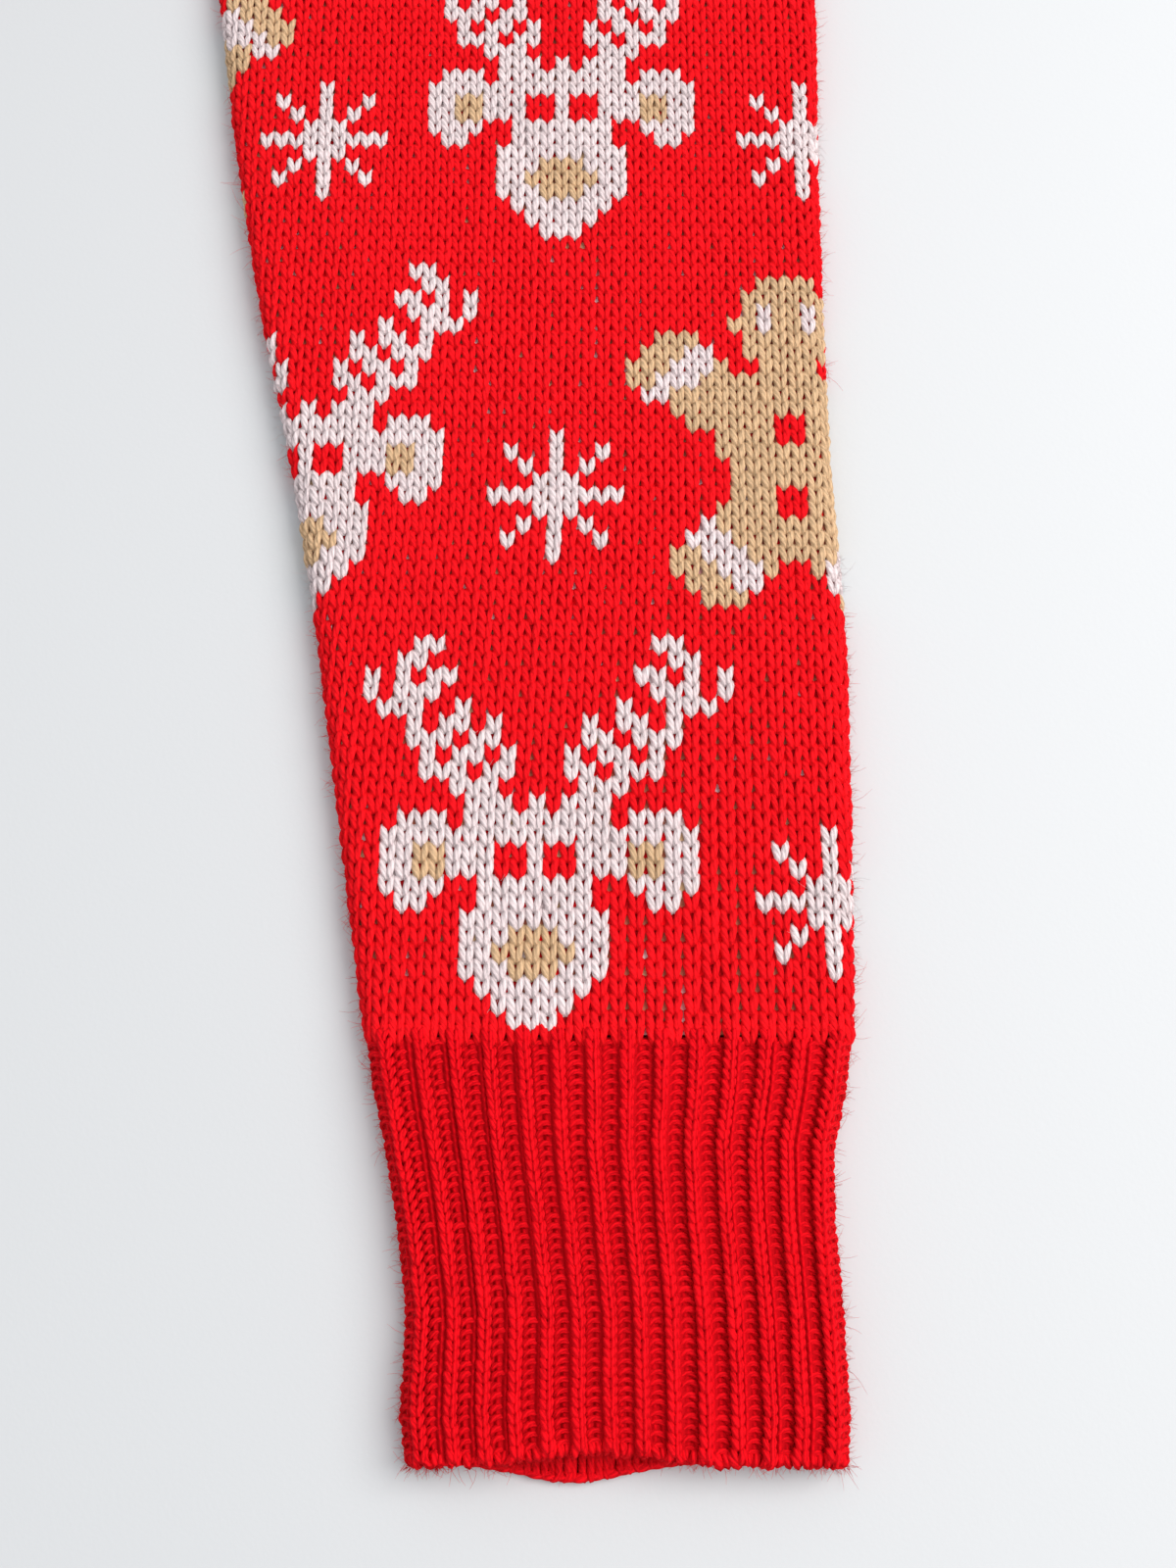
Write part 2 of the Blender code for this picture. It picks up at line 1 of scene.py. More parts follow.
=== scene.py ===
"""Looks of a red jacquard-knit cardigan, buttoned and laid flat on its back.

Run as a script in Blender 4.5.  It is laid out as an add-on: each group of pieces has its own
operator, and the sizes and colours are properties of the scene.

Lengths are in millimetres until a mesh is made.  +X is the wearer's left, +Y points to the neck and
+Z is up.  While the pieces are drawn, y = 0 is the height of the neck points.
"""

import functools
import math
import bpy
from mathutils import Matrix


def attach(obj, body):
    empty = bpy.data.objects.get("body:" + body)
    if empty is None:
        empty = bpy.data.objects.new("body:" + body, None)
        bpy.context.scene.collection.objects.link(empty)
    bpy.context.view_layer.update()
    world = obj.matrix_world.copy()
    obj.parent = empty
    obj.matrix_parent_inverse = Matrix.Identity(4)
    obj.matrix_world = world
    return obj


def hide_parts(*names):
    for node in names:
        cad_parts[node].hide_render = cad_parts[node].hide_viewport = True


bl_info = {
    "name": "Jacquard cardigan, laid flat",
    "version": (1, 0, 0),
    "blender": (4, 5, 0),
    "location": "3D View > Sidebar > Cardigan",
    "description": "Yarn stitches, knitted cloth, ribs and buttons around the cardigan's solids",
    "category": "Add Mesh",
}

import bpy
import numpy as np
from mathutils import Matrix, Vector

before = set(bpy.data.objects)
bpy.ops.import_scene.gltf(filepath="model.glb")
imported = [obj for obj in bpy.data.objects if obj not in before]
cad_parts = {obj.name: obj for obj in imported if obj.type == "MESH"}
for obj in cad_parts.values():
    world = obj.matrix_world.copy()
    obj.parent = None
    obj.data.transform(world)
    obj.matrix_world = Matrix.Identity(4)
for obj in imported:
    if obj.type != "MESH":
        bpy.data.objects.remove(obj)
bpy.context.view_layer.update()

MM = 0.001
ORIGIN_Y = -304.0
SEAM_GAP = 0.3

# The body's outline, as the solids have it.
BODY_LENGTH = 620.0
HEM_HEIGHT = 70.0
SHOULDER_TIP = (195.0, -38.0)
ARMPIT = (245.0, -228.0)
ARMHOLE_BENDS = ((220.0, -192.0), (190.0, -120.0))
NECK_POINT = (92.0, -4.0)
NECK_SCOOP = 20.0
NECKBAND_TOP = 12.0
SIDE_SEAM = (
    # height, half_width
    (-620.0, 236.0),
    (-590.0, 237.5),
    (-550.0, 245.0),
    (-400.0, 247.0),
    (-262.0, 249.0),
    (-228.0, 245.0),
)
BAND_WIDTH = 34.0
V_START = -250.0
V_BEND = (22.0, -205.0)

# Layers.
CLOTH = 2.5
FRONT_BASE = CLOTH + SEAM_GAP
RIB_WALL = 2.2
RIB_HEIGHT = 0.8
OVERLAP_RISE = RIB_WALL + RIB_HEIGHT + SEAM_GAP
OVERLAP_RAMP = 30.0
OVERLAP_ENDS = (-162.0, -95.0)
NECKBAND_WALL = 1.8
NECKBAND_RIB = 0.7

# The sleeve.
SLEEVE_ANGLE = math.radians(40.0)
SLEEVE_ARMPIT_ALONG = 427.0
SLEEVE_ARMPIT_ACROSS = -107.0
SLEEVE_HEIGHT = 7.4
SLEEVE_FLAT_HEIGHT = 5.3
FOLD_REACH = 5.0
CUFF_TOP = 83.5
SLEEVE_EDGES = (
    # underarm_along, underarm_across, outer_along, outer_across
    (399.0, -102.0, 522.0, 31.0),
    (371.0, -97.2, 446.0, 54.0),
    (342.0, -91.8, 385.0, 57.0),
    (300.0, -85.4, 322.0, 55.8),
    (258.0, -77.6, 268.0, 55.0),
    (213.0, -67.6, 216.0, 55.2),
    (174.0, -60.4, 175.0, 56.8),
    (138.0, -54.8, 138.0, 56.4),
    (103.0, -49.4, 103.0, 55.6),
    (CUFF_TOP, -46.2, CUFF_TOP, 54.8),
)
CUFF_EDGES = (
    # along, underarm_across, outer_across
    (0.0, -35.3, 50.2),
    (9.0, -36.6, 51.1),
    (28.0, -36.0, 50.4),
    (47.0, -38.6, 49.5),
    (61.0, -41.4, 50.0),
    (73.0, -44.2, 53.0),
    (83.2, -46.0, 54.6),
)
CUFF_RIBS = 14
CUFF_RIB_HEIGHT = 0.9

# Soft creases of the upper layer.
CREASES = (
    # x, y, turn_degrees, half_length, half_width, height
    (178.0, -176.0, 128.0, 78.0, 17.0, 1.8),
    (150.0, -330.0, 100.0, 120.0, 24.0, 1.3),
    (92.0, -455.0, 78.0, 92.0, 20.0, 1.1),
    (292.0, -214.0, -44.0, 74.0, 15.0, 1.5),
    (330.0, -196.0, -62.0, 58.0, 16.0, 1.2),
    (-184.0, -170.0, 56.0, 70.0, 18.0, 1.7),
    (-128.0, -372.0, 84.0, 130.0, 22.0, 1.2),
    (-205.0, -468.0, 72.0, 66.0, 18.0, 1.0),
    (-302.0, -222.0, 40.0, 82.0, 14.0, 1.5),
    (-392.0, -262.0, 74.0, 56.0, 18.0, 1.4),
    (-452.0, -352.0, 30.0, 70.0, 15.0, 1.1),
    (-118.0, -118.0, 75.0, 62.0, 16.0, 1.1),
    (132.0, -92.0, 112.0, 54.0, 15.0, 1.2),
)

# The buttons.
BUTTON_COUNT = 5
FIRST_BUTTON = -268.0
BUTTON_SPACING = 82.0
BUTTON_DIAMETER = 20.0
BUTTON_THICKNESS = 3.5
BUTTON_HOLE_DIAMETER = 2.2
BUTTON_HOLE_SPACING = 4.4
BUTTON_SEAT = FRONT_BASE + OVERLAP_RISE + RIB_WALL + RIB_HEIGHT + SEAM_GAP

# The charts of the knitting, as drawn: "." is the ground colour, "#" white and "t" tan.
# The first two are halves: the deer is mirrored about its last column, the figure beside it.
DEER = (
    "....##.......", "...##........", ".#.#.##......", ".#.###.......", "..###..#.....",
    "....#.##.#...", "....###.##...", ".....#.##.#..", ".....###.##..", ".......###...",
    "........###.#", "....###.#####", "...##########", "...##tt###..#", "...##tt###..#",
    "...####..####", "....##...####", "........#####", "........###tt", "........##ttt",
    "........###tt", ".........####", "..........###", "...........##",
)
COOKIE = (
    ".........tt", "........ttt", "........t#t", ".......tt#t", "..ttt...ttt", ".ttt##..ttt",
    "ttt###t..tt", "tt###tttttt", ".##tttttttt", "...tttttttt", "....tttttt.", "......tttt.",
    "......ttttt", ".......tttt", ".......tttt", ".......ttt.", "......tttt.", ".....#ttttt",
    "....###tttt", "...tt###ttt", "...ttt###t.", "....ttt##..", ".....ttt...",
)
STAR = (
    "....#....", ".#..#..#.", "..#.#.#..", "...###...", "#########", "...###...", "..#.#.#..",
    ".#..#..#.", "....#....",
)
MOTIF_WALES = 17
MOTIF_COURSES = 26
MOTIF_SHIFT = (0, 1, 0, 3)
FIGURE_NUDGE = (-1, -1, 4, -1)  # wales by which a figure stands beside its place, row by row
RED, WHITE, TAN = 0, 1, 2


# --- Sizes and colours ---

def linear(text):
    """An sRGB hex colour as linear red, green and blue."""
    channels = (int(text[k:k + 2], 16) / 255 for k in (1, 3, 5))
    return tuple(c / 12.92 if c <= 0.04045 else ((c + 0.055) / 1.055) ** 2.4 for c in channels)


def length_setting(name, description, millimetres):
    """A property of length, given in millimetres."""
    return bpy.props.FloatProperty(name=name, description=description, default=millimetres * MM,
                                   min=0.0, unit="LENGTH", precision=5)


def colour_setting(name, description, text):
    """A property of colour, given as an sRGB hex."""
    return bpy.props.FloatVectorProperty(name=name, description=description, default=linear(text),
                                         min=0.0, max=1.0, size=3, subtype="COLOR")


class KnitSizes(bpy.types.PropertyGroup):
    """Sizes of the stitches, the ribs and the yarn"""
    wale: length_setting("Wale", "Width of one column of stitches", 3.5)
    course: length_setting("Course", "Height of one row of stitches", 3.64)
    rib_course: length_setting("Rib course", "Height of one row of the ribs", 2.04)
    rib_pitch: length_setting("Rib pitch", "One knitted and one purled column of the hems", 6.25)
    yarn: length_setting("Yarn radius", "Radius of the jacquard's yarn", 0.86)
    rib_yarn: length_setting("Rib yarn radius", "Radius of the ribs' yarn", 0.76)
    unevenness: length_setting("Unevenness", "How far a stitch strays from its place", 0.09)
    fibre: length_setting("Fibre length", "Length of a stray fibre", 2.6)
    fibre_count: bpy.props.IntProperty(name="Fibres", description="Number of stray fibres",
                                       default=3900, min=0)


class KnitColours(bpy.types.PropertyGroup):
    """Colours of the yarns, the buttons and the floor"""
    red: colour_setting("Red yarn", "Ground of the jacquard", "#FF111C")
    rib_red: colour_setting("Rib red", "Ribbed cuffs, hems and bands", "#EE0818")
    white: colour_setting("White yarn", "Deer and stars", "#EAD8D8")
    tan: colour_setting("Tan yarn", "Gingerbread figures", "#D8B38C")
    ground: colour_setting("Between stitches", "Shaded yarn behind the stitches", "#CC121C")
    button: colour_setting("Button", "Polyester buttons", "#A80F18")
    floor: colour_setting("Floor", "Surface that the garment lies on", "#CDCECF")


def sizes():
    """The sizes in millimetres, by name."""
    group = bpy.context.scene.cardigan_sizes
    names = ("wale", "course", "rib_course", "rib_pitch", "yarn", "rib_yarn", "unevenness", "fibre")
    return {name: getattr(group, name) / MM for name in names}


# --- Materials ---

FIBRE_TURNS = 0.117     # turns of a fibre round the yarn in one millimetre
PLY_LINES = 4.0         # coarser than the real plies, so that they show
FLOAT_RUN = 0.143       # a float of idle yarn keeps its colour for seven courses
JACQUARD = ("acrylic_jacquard_knit", "acrylic_jacquard_reverse")


def add_node(tree, kind, inputs=None, output=0, **settings):
    """A shader node with its settings.  inputs has a value or the socket to link for each of its
    sockets; the output asked for comes back."""
    node = tree.nodes.new("ShaderNode" + kind)
    for name, value in settings.items():
        setattr(node, name, value)
    for socket, value in (inputs or {}).items():
        if isinstance(value, bpy.types.NodeSocket):
            tree.links.new(value, node.inputs[socket])
        else:
            node.inputs[socket].default_value = value
    return node.outputs[output]


def new_material(name, roughness, ior=1.48, specular=0.07, sheen=0.0):
    """An empty material with its shader and the sockets that every finish sets."""
    made = bpy.data.materials.new(name)
    made.use_nodes = True
    shader = made.node_tree.nodes["Principled BSDF"]
    for socket, value in (("Roughness", roughness), ("IOR", ior), ("Specular IOR Level", specular),
                          ("Sheen Weight", sheen), ("Sheen Roughness", 0.45)):
        shader.inputs[socket].default_value = value
    return made, made.node_tree, shader


def lay_colours(ramp, *stops):
    """The colours of a ramp at their positions, from the first to the last."""
    elements = ramp.elements
    for element, (position, colour) in zip(elements, (stops[0], stops[-1])):
        element.position, element.color = position, (*colour, 1.0)
    for position, colour in stops[1:-1]:
        elements.new(position).color = (*colour, 1.0)


def spun_acrylic(name, colour):
    """Spun and plied acrylic yarn: matt, its plies and bundles of fibres wound round it at some 28
    degrees, so that they show as fine streaks in the bump and in the colour: the colour is painted
    lighter on the plies' tops and streaks as highlight, and darker in between as shade, over random
    patches.  The UV map runs round the yarn (nought to one) and along it in millimetres."""
    made, tree, shader = new_material(name, 0.82, sheen=0.25)
    shader.inputs["Sheen Tint"].default_value = (*colour, 1.0)
    place = add_node(tree, "UVMap", uv_map="yarn")
    split = add_node(tree, "SeparateXYZ", {"Vector": place}).node.outputs
    wound = add_node(tree, "Math", {0: split["Y"], 1: -FIBRE_TURNS, 2: split["X"]},
                     operation="MULTIPLY_ADD")
    plies = add_node(tree, "Math", {0: wound, 1: math.tau * PLY_LINES}, operation="MULTIPLY")
    wave = add_node(tree, "Math", {0: plies}, operation="SINE")
    laid = add_node(tree, "CombineXYZ", {"X": wound, "Y": split["Y"]})
    bundles = add_node(tree, "Mapping", {"Vector": laid, "Scale": (17.0, 0.75, 1.0)})
    spot = add_node(tree, "TexCoord", output="Object")
    strayed = add_node(tree, "Mapping", {"Vector": spot, "Scale": (90.0, 90.0, 90.0)})
    shifted = add_node(tree, "VectorMath", {0: bundles, 1: strayed}, operation="ADD")
    fibres = add_node(tree, "TexNoise", {"Vector": shifted, "Scale": 1.0, "Detail": 3.0,
                                         "Roughness": 0.62})
    height = add_node(tree, "Math", {0: wave, 1: 0.16, 2: fibres}, operation="MULTIPLY_ADD")
    bump = add_node(tree, "Bump", {"Height": height, "Strength": 0.8, "Distance": 0.0005})
    patch = add_node(tree, "TexNoise", {"Vector": spot, "Scale": 260.0, "Detail": 2.0,
                                        "Roughness": 0.6})
    # Painted highlight and shade: the base colour follows the plies' and fibres' height, lighter on
    # crests and darker between them, over random patches.
    painted_ply_light_and_patches = add_node(tree, "Math", {0: patch, 1: 0.45, 2: height}, operation="MULTIPLY_ADD")
    ramp = add_node(tree, "ValToRGB", {"Fac": painted_ply_light_and_patches})
    lay_colours(ramp.node.color_ramp, (0.48, [c * 0.66 for c in colour]),
                (0.92, [min(1.0, c * 1.12 + 0.002) for c in colour]))
    tree.links.new(ramp, shader.inputs["Base Color"])
    tree.links.new(bump, shader.inputs["Normal"])
    return made


def knitted_cloth(name, colour=None, rib=False):
    """Machine-knitted acrylic cloth, seen from further off: matt, with the legs of its stitches as
    a soft relief, which also darkens the colour where it is low: painted shade between the legs,
    with random grain.  The UV map counts wales across and courses along; without a colour, the
    faces have the chart's.  A rib has a pair of legs on its crest, and short arcs in its valley."""
    made, tree, shader = new_material(name, 0.85)
    place = add_node(tree, "UVMap", uv_map="stitches")
    across, along = (
        add_node(tree, "TexWave", {"Vector": place, "Scale": math.tau / 20.0 / repeat,
                                   "Distortion": 0.0},
                 output="Fac", wave_type="BANDS", bands_direction=axis, wave_profile="SIN")
        for axis, repeat in (("X", 0.25 if rib else 0.5), ("Y", 1.0)))
    grain = add_node(tree, "TexNoise", {"Vector": place, "Scale": 9.0, "Detail": 3.0,
                                        "Roughness": 0.7})
    legs = add_node(tree, "Math", {0: across, 1: along}, operation="MULTIPLY")
    soft = add_node(tree, "Math", {0: across, 1: 0.8, 2: legs}, operation="MULTIPLY_ADD")
    height = add_node(tree, "Math", {0: grain, 1: 0.5, 2: soft}, operation="MULTIPLY_ADD")
    bump = add_node(tree, "Bump", {"Height": height, "Strength": 0.8, "Distance": 0.0009})
    # Painted shade: the colour is scaled from 0.62 where the relief and grain are low to 1.06 where
    # they are high.
    shade = add_node(tree, "MapRange", {"Value": height, "From Min": 0.25, "From Max": 1.9,
                                        "To Min": 0.62, "To Max": 1.06})
    own = (*colour, 1.0) if colour else add_node(
        tree, "Attribute", attribute_name="chart_colour", attribute_type="GEOMETRY")
    mix = add_node(tree, "MixRGB", {"Fac": 1.0, "Color1": own, "Color2": shade},
                   blend_type="MULTIPLY")
    tree.links.new(mix, shader.inputs["Base Color"])
    tree.links.new(bump, shader.inputs["Normal"])
    return made


def cloth_reverse(name, ground, white, tan, red):
    """The inside of a jacquard: ground yarn in a colour painted as shade, and floats of the idle
    colours that show as dots in the gaps between the wales, alike for a few courses; one of them is
    tan dimmed with the ground, as painted shade, and under the wales the ground is painted darker
    still, as the stitches' shade.  The UV map counts wales across, whole numbers lying between two
    wales, and courses along."""
    made, tree, shader = new_material(name, 0.9)
    place = add_node(tree, "UVMap", uv_map="stitches")
    centred = add_node(tree, "Mapping", {"Vector": place, "Location": (0.5, 0.0, 0.0)})
    cell = add_node(tree, "VectorMath", {0: centred}, operation="FLOOR")
    runs = add_node(tree, "Mapping", {"Vector": cell, "Scale": (1.0, FLOAT_RUN, 1.0),
                                      "Location": (0.3, 0.02, 0.0)})
    run = add_node(tree, "VectorMath", {0: runs}, operation="FLOOR")
    single, shared = (add_node(tree, "TexWhiteNoise", {"Vector": where}, noise_dimensions="3D")
                      for where in (cell, run))
    pick = add_node(tree, "Math", {0: single, 1: shared}, operation="ADD")
    halved = add_node(tree, "Math", {0: pick, 1: 0.5}, operation="MULTIPLY")
    ramp = add_node(tree, "ValToRGB", {"Fac": halved})
    ramp.node.color_ramp.interpolation = "CONSTANT"
    # The first mix is tan dimmed with the ground: painted shade of a tan float deep in a gap.  The
    # second is white and ground half and half.
    shaded_tan_mix = [0.45 * g + 0.30 * t for g, t in zip(ground, tan)]
    pink = [0.5 * g + 0.5 * w for g, w in zip(ground, white)]
    lay_colours(ramp.node.color_ramp, (0.0, ground), (0.34, shaded_tan_mix), (0.50, red), (0.62, shaded_tan_mix),
                (0.70, pink), (0.74, tan), (0.78, white))
    # Away from the gaps, under the wales, the colour turns to the ground darkened to 0.72: painted
    # shade under the stitches.
    split = add_node(tree, "SeparateXYZ", {"Vector": centred})
    across = add_node(tree, "Math", {0: split, 1: 1.0}, operation="FLOORED_MODULO")
    off = add_node(tree, "Math", {0: across, 1: 0.5}, operation="SUBTRACT")
    far = add_node(tree, "Math", {0: off}, operation="ABSOLUTE")
    edge = add_node(tree, "MapRange", {"Value": far, "From Min": 0.24, "From Max": 0.30,
                                       "To Min": 0.0, "To Max": 1.0})
    mix = add_node(tree, "MixRGB", {"Fac": edge, "Color1": ramp,
                                    "Color2": (*[g * 0.72 for g in ground], 1.0)})
    grain = add_node(tree, "TexNoise", {"Vector": place, "Scale": 3.0, "Detail": 4.0,
                                        "Roughness": 0.7})
    bump = add_node(tree, "Bump", {"Height": grain, "Strength": 0.6, "Distance": 0.0008})
    tree.links.new(mix, shader.inputs["Base Color"])
    tree.links.new(bump, shader.inputs["Normal"])
    return made


def moulded_polyester(name, colour):
    """Polyester button blank, turned and tumbled: a soft gloss with faint clouding."""
    made, tree, shader = new_material(name, 0.28, ior=1.54, specular=0.5)
    spot = add_node(tree, "TexCoord", output="Object")
    cloud = add_node(tree, "TexNoise", {"Vector": spot, "Scale": 160.0, "Detail": 3.0,
                                        "Roughness": 0.6})
    ramp = add_node(tree, "ValToRGB", {"Fac": cloud})
    lay_colours(ramp.node.color_ramp, (0.35, [c * 0.82 for c in colour]),
                (0.7, [min(1.0, c * 1.12) for c in colour]))
    tree.links.new(ramp, shader.inputs["Base Color"])
    return made


def painted_board(name, colour):
    """A white board under the garment: matt paint with a very fine tooth."""
    made, tree, shader = new_material(name, 0.75)
    spot = add_node(tree, "TexCoord", output="Object")
    tooth = add_node(tree, "TexNoise", {"Vector": spot, "Scale": 900.0, "Detail": 2.0})
    bump = add_node(tree, "Bump", {"Height": tooth, "Strength": 0.15, "Distance": 0.0002})
    shader.inputs["Base Color"].default_value = (*colour, 1.0)
    tree.links.new(bump, shader.inputs["Normal"])
    return made


FINISHES = {
    # each finish's maker, and the scene's colours that it is given
    "acrylic_yarn_red": (spun_acrylic, "red"),
    "acrylic_yarn_rib_red": (spun_acrylic, "rib_red"),
    "acrylic_yarn_white": (spun_acrylic, "white"),
    "acrylic_yarn_tan": (spun_acrylic, "tan"),
    "acrylic_jacquard_knit": (knitted_cloth,),
    "acrylic_rib_knit_red": (functools.partial(knitted_cloth, rib=True), "rib_red"),
    "acrylic_jacquard_reverse": (cloth_reverse, "ground", "white", "tan", "red"),
    "polyester_button_red": (moulded_polyester, "button"),
    "painted_board_white": (painted_board, "floor"),
}


def finish_of(name):
    """A material by its name, made once from the scene's colours."""
    if name not in bpy.data.materials:
        maker, *chosen = FINISHES[name]
        colours = bpy.context.scene.cardigan_colours
        maker(name, *(tuple(getattr(colours, colour)) for colour in chosen))
    return bpy.data.materials[name]


# --- Meshes ---

def make_object(name, parts, finishes, uv_name="stitches"):
    """An object from parts.  A part has its points and groups of faces; a group is (faces, uv,
    colour, slot): faces is an array of point numbers with as many columns as corners, uv has one
    pair for each corner, and colour one row of red, green and blue for each face."""
    points, loops, counts, uvs, colours, slots = [], [], [], [], [], []
    start = 0
    for part_points, groups in parts:
        points.append(part_points)
        for faces, uv, colour, slot in groups:
            if not len(faces):
                continue
            corners = faces.shape[1]
            loops.append((faces + start).ravel())
            counts.append(np.full(len(faces), corners))
            uvs.append(np.zeros((len(faces) * corners, 2)) if uv is None else uv.reshape(-1, 2))
            tint = np.ones((len(faces), 4))
            if colour is not None:
                tint[:, :3] = colour
            colours.append(np.repeat(tint, corners, axis=0))
            slots.append(np.full(len(faces), slot))
        start += len(part_points)
    points = (np.concatenate(points) - (0.0, ORIGIN_Y, 0.0)) * MM
    loops, counts = np.concatenate(loops), np.concatenate(counts)
    mesh = bpy.data.meshes.new(name)
    mesh.vertices.add(len(points))
    mesh.loops.add(len(loops))
    mesh.polygons.add(len(counts))
    for finish in finishes:
        mesh.materials.append(finish_of(finish))
    whole = np.int32
    for target, key, values, kind in (
            (mesh.vertices, "co", points, np.float32),
            (mesh.loops, "vertex_index", loops, whole),
            (mesh.polygons, "loop_start", np.cumsum(counts) - counts, whole),
            (mesh.polygons, "material_index", np.concatenate(slots), whole)):
        target.foreach_set(key, values.astype(kind).ravel())
    mesh.update(calc_edges=True)
    layer = mesh.uv_layers.new(name=uv_name)
    layer.data.foreach_set("uv", np.concatenate(uvs).astype(np.float32).ravel())
    shown = mesh.attributes.new("chart_colour", "FLOAT_COLOR", "CORNER")
    shown.data.foreach_set("color", np.concatenate(colours).astype(np.float32).ravel())
    mesh.validate()
    mesh.shade_smooth()
    thing = bpy.data.objects.new(name, mesh)
    bpy.context.scene.collection.objects.link(thing)
    return thing


def grid_faces(rows, columns, start=0):
    """Four-cornered faces of a grid of points, row by row."""
    index = np.arange(rows * columns).reshape(rows, columns) + start
    corners = (index[:-1, :-1], index[:-1, 1:], index[1:, 1:], index[1:, :-1])
    return np.stack(corners, axis=-1).reshape(-1, 4)


def grid_corners(values):
    """The four corners' values of each face of a grid, for values of shape (rows, columns, n)."""
    return values.reshape(-1, values.shape[-1])[grid_faces(*values.shape[:2])]


def welded(points, faces, uv, colour, turned=False):
    """A part with points at one place made one, and faces without area left out; a face that
    loses one corner becomes a triangle."""
    keys = np.round(points * 500).astype(np.int64)
    unique, number = np.unique(keys, axis=0, return_inverse=True)
    number = number.ravel()
    first = np.full(len(unique), -1)
    first[number[::-1]] = np.arange(len(points))[::-1]
    merged, faces = points[first], number[faces]
    corner = merged[faces]
    crossed = np.cross(corner[:, 2] - corner[:, 0], corner[:, 3] - corner[:, 1])
    wide = np.linalg.norm(crossed, axis=1) > 0.02
    same = faces == np.roll(faces, -1, axis=1)
    way = slice(None, None, -1 if turned else 1)
    groups = []
    for lost in (0, 1):
        chosen = wide & (same.sum(axis=1) == lost)
        kept = ~same[chosen]
        groups.append((faces[chosen][kept].reshape(-1, 4 - lost)[:, way],
                       uv[chosen][kept].reshape(-1, 4 - lost, 2)[:, way], colour[chosen], 0))
    return merged, groups


def path_run(points):
    """Length along each line of points, from its first point to every one."""
    steps = np.linalg.norm(np.diff(points, axis=-2), axis=-1)
    return np.concatenate((np.zeros((*steps.shape[:-1], 1)), np.cumsum(steps, axis=-1)), axis=-1)


def yarn_parts(paths, normals, radii, sides=5, flatness=0.88):
    """Tubes along many short paths at once.  paths and normals have the shape (yarns, rings, 3) and
    radii (yarns, rings).  Each ring is an ellipse square to its path, flatter along the normal, and
    both ends are capped."""
    count, rings = paths.shape[:2]
    ahead = np.gradient(paths, axis=1)
    ahead /= np.linalg.norm(ahead, axis=2, keepdims=True)
    beside = np.cross(ahead, normals)
    beside /= np.linalg.norm(beside, axis=2, keepdims=True)
    above = np.cross(beside, ahead)
    turns = np.arange(sides) * math.tau / sides + (math.pi / 2 if sides > 3 else -math.pi / 2)
    ring = (np.cos(turns)[None, None, :, None] * beside[:, :, None, :]
            + flatness * np.sin(turns)[None, None, :, None] * above[:, :, None, :])
    points = paths[:, :, None, :] + radii[:, :, None, None] * ring
    index = np.arange(count * rings * sides).reshape(count, rings, sides)
    beyond = np.roll(index, -1, axis=2)
    quads = np.stack((index[:, :-1], index[:, 1:], beyond[:, 1:], beyond[:, :-1]), axis=-1)
    run = path_run(paths)
    low = np.broadcast_to((np.arange(sides) / sides)[None, None, :], quads.shape[:3])
    high = low + 1.0 / sides
    start, end = (np.broadcast_to(part[..., None], quads.shape[:3])
                  for part in (run[:, :-1], run[:, 1:]))
    uv = np.stack([np.stack(pair, -1) for pair in
                   ((low, start), (low, end), (high, end), (high, start))], axis=3)
    caps = np.concatenate((index[:, 0], index[:, -1, ::-1]))
    return points.reshape(-1, 3), [(quads.reshape(-1, 4), uv.reshape(-1, 4, 2), None, 0),
                                   (caps, None, None, 0)]


def level_yarn(paths, radii, **form):
    """Tubes along paths, with the flat side up."""
    return yarn_parts(paths, np.broadcast_to((0.0, 0.0, 1.0), paths.shape),
                      np.broadcast_to(radii, paths.shape[:2]), **form)


# --- The pattern ---

def pattern_tile():
    """Colour numbers of one repeat: motifs every 17 wales and 26 courses, a deer or gingerbread
    figure at every other place and a star between them, in turns that repeat after four rows."""
    tile = np.zeros((4 * MOTIF_COURSES, 4 * MOTIF_WALES), dtype=int)
    for row in range(4):
        for column in range(4):
            if (row + column) % 2:
                chart, bottom = STAR, 3
            else:
                deer = (column + MOTIF_SHIFT[row]) % 4 == 0
                bottom = 0
                chart = ([line + line[-2::-1] for line in DEER] if deer
                         else [line + line[::-1] for line in COOKIE])
            reach = len(chart[0]) // 2
            nudge = 0 if len(chart[0]) % 2 else FIGURE_NUDGE[row]
            for step, line in enumerate(reversed(chart)):
                for offset, mark in enumerate(line):
                    if mark != ".":
                        place = (row * MOTIF_COURSES + bottom + step) % tile.shape[0]
                        side = (column * MOTIF_WALES + nudge - reach + offset) % tile.shape[1]
                        tile[place, side] = TAN if mark == "t" else WHITE
    return tile


PATTERN = pattern_tile()


def pattern_at(wale, course):
    """Colour numbers for whole numbers of wales and courses."""
    return PATTERN[course % PATTERN.shape[0], wale % PATTERN.shape[1]]


def chart_colours(numbers):
    """The yarns' colours for colour numbers."""
    colours = bpy.context.scene.cardigan_colours
    return np.array([tuple(colours.red), tuple(colours.white), tuple(colours.tan)])[numbers]


# --- Outlines ---

def smoothstep(value):
    """Nought to one with level ends."""
    held = np.clip(value, 0.0, 1.0)
    return held * held * (3.0 - 2.0 * held)


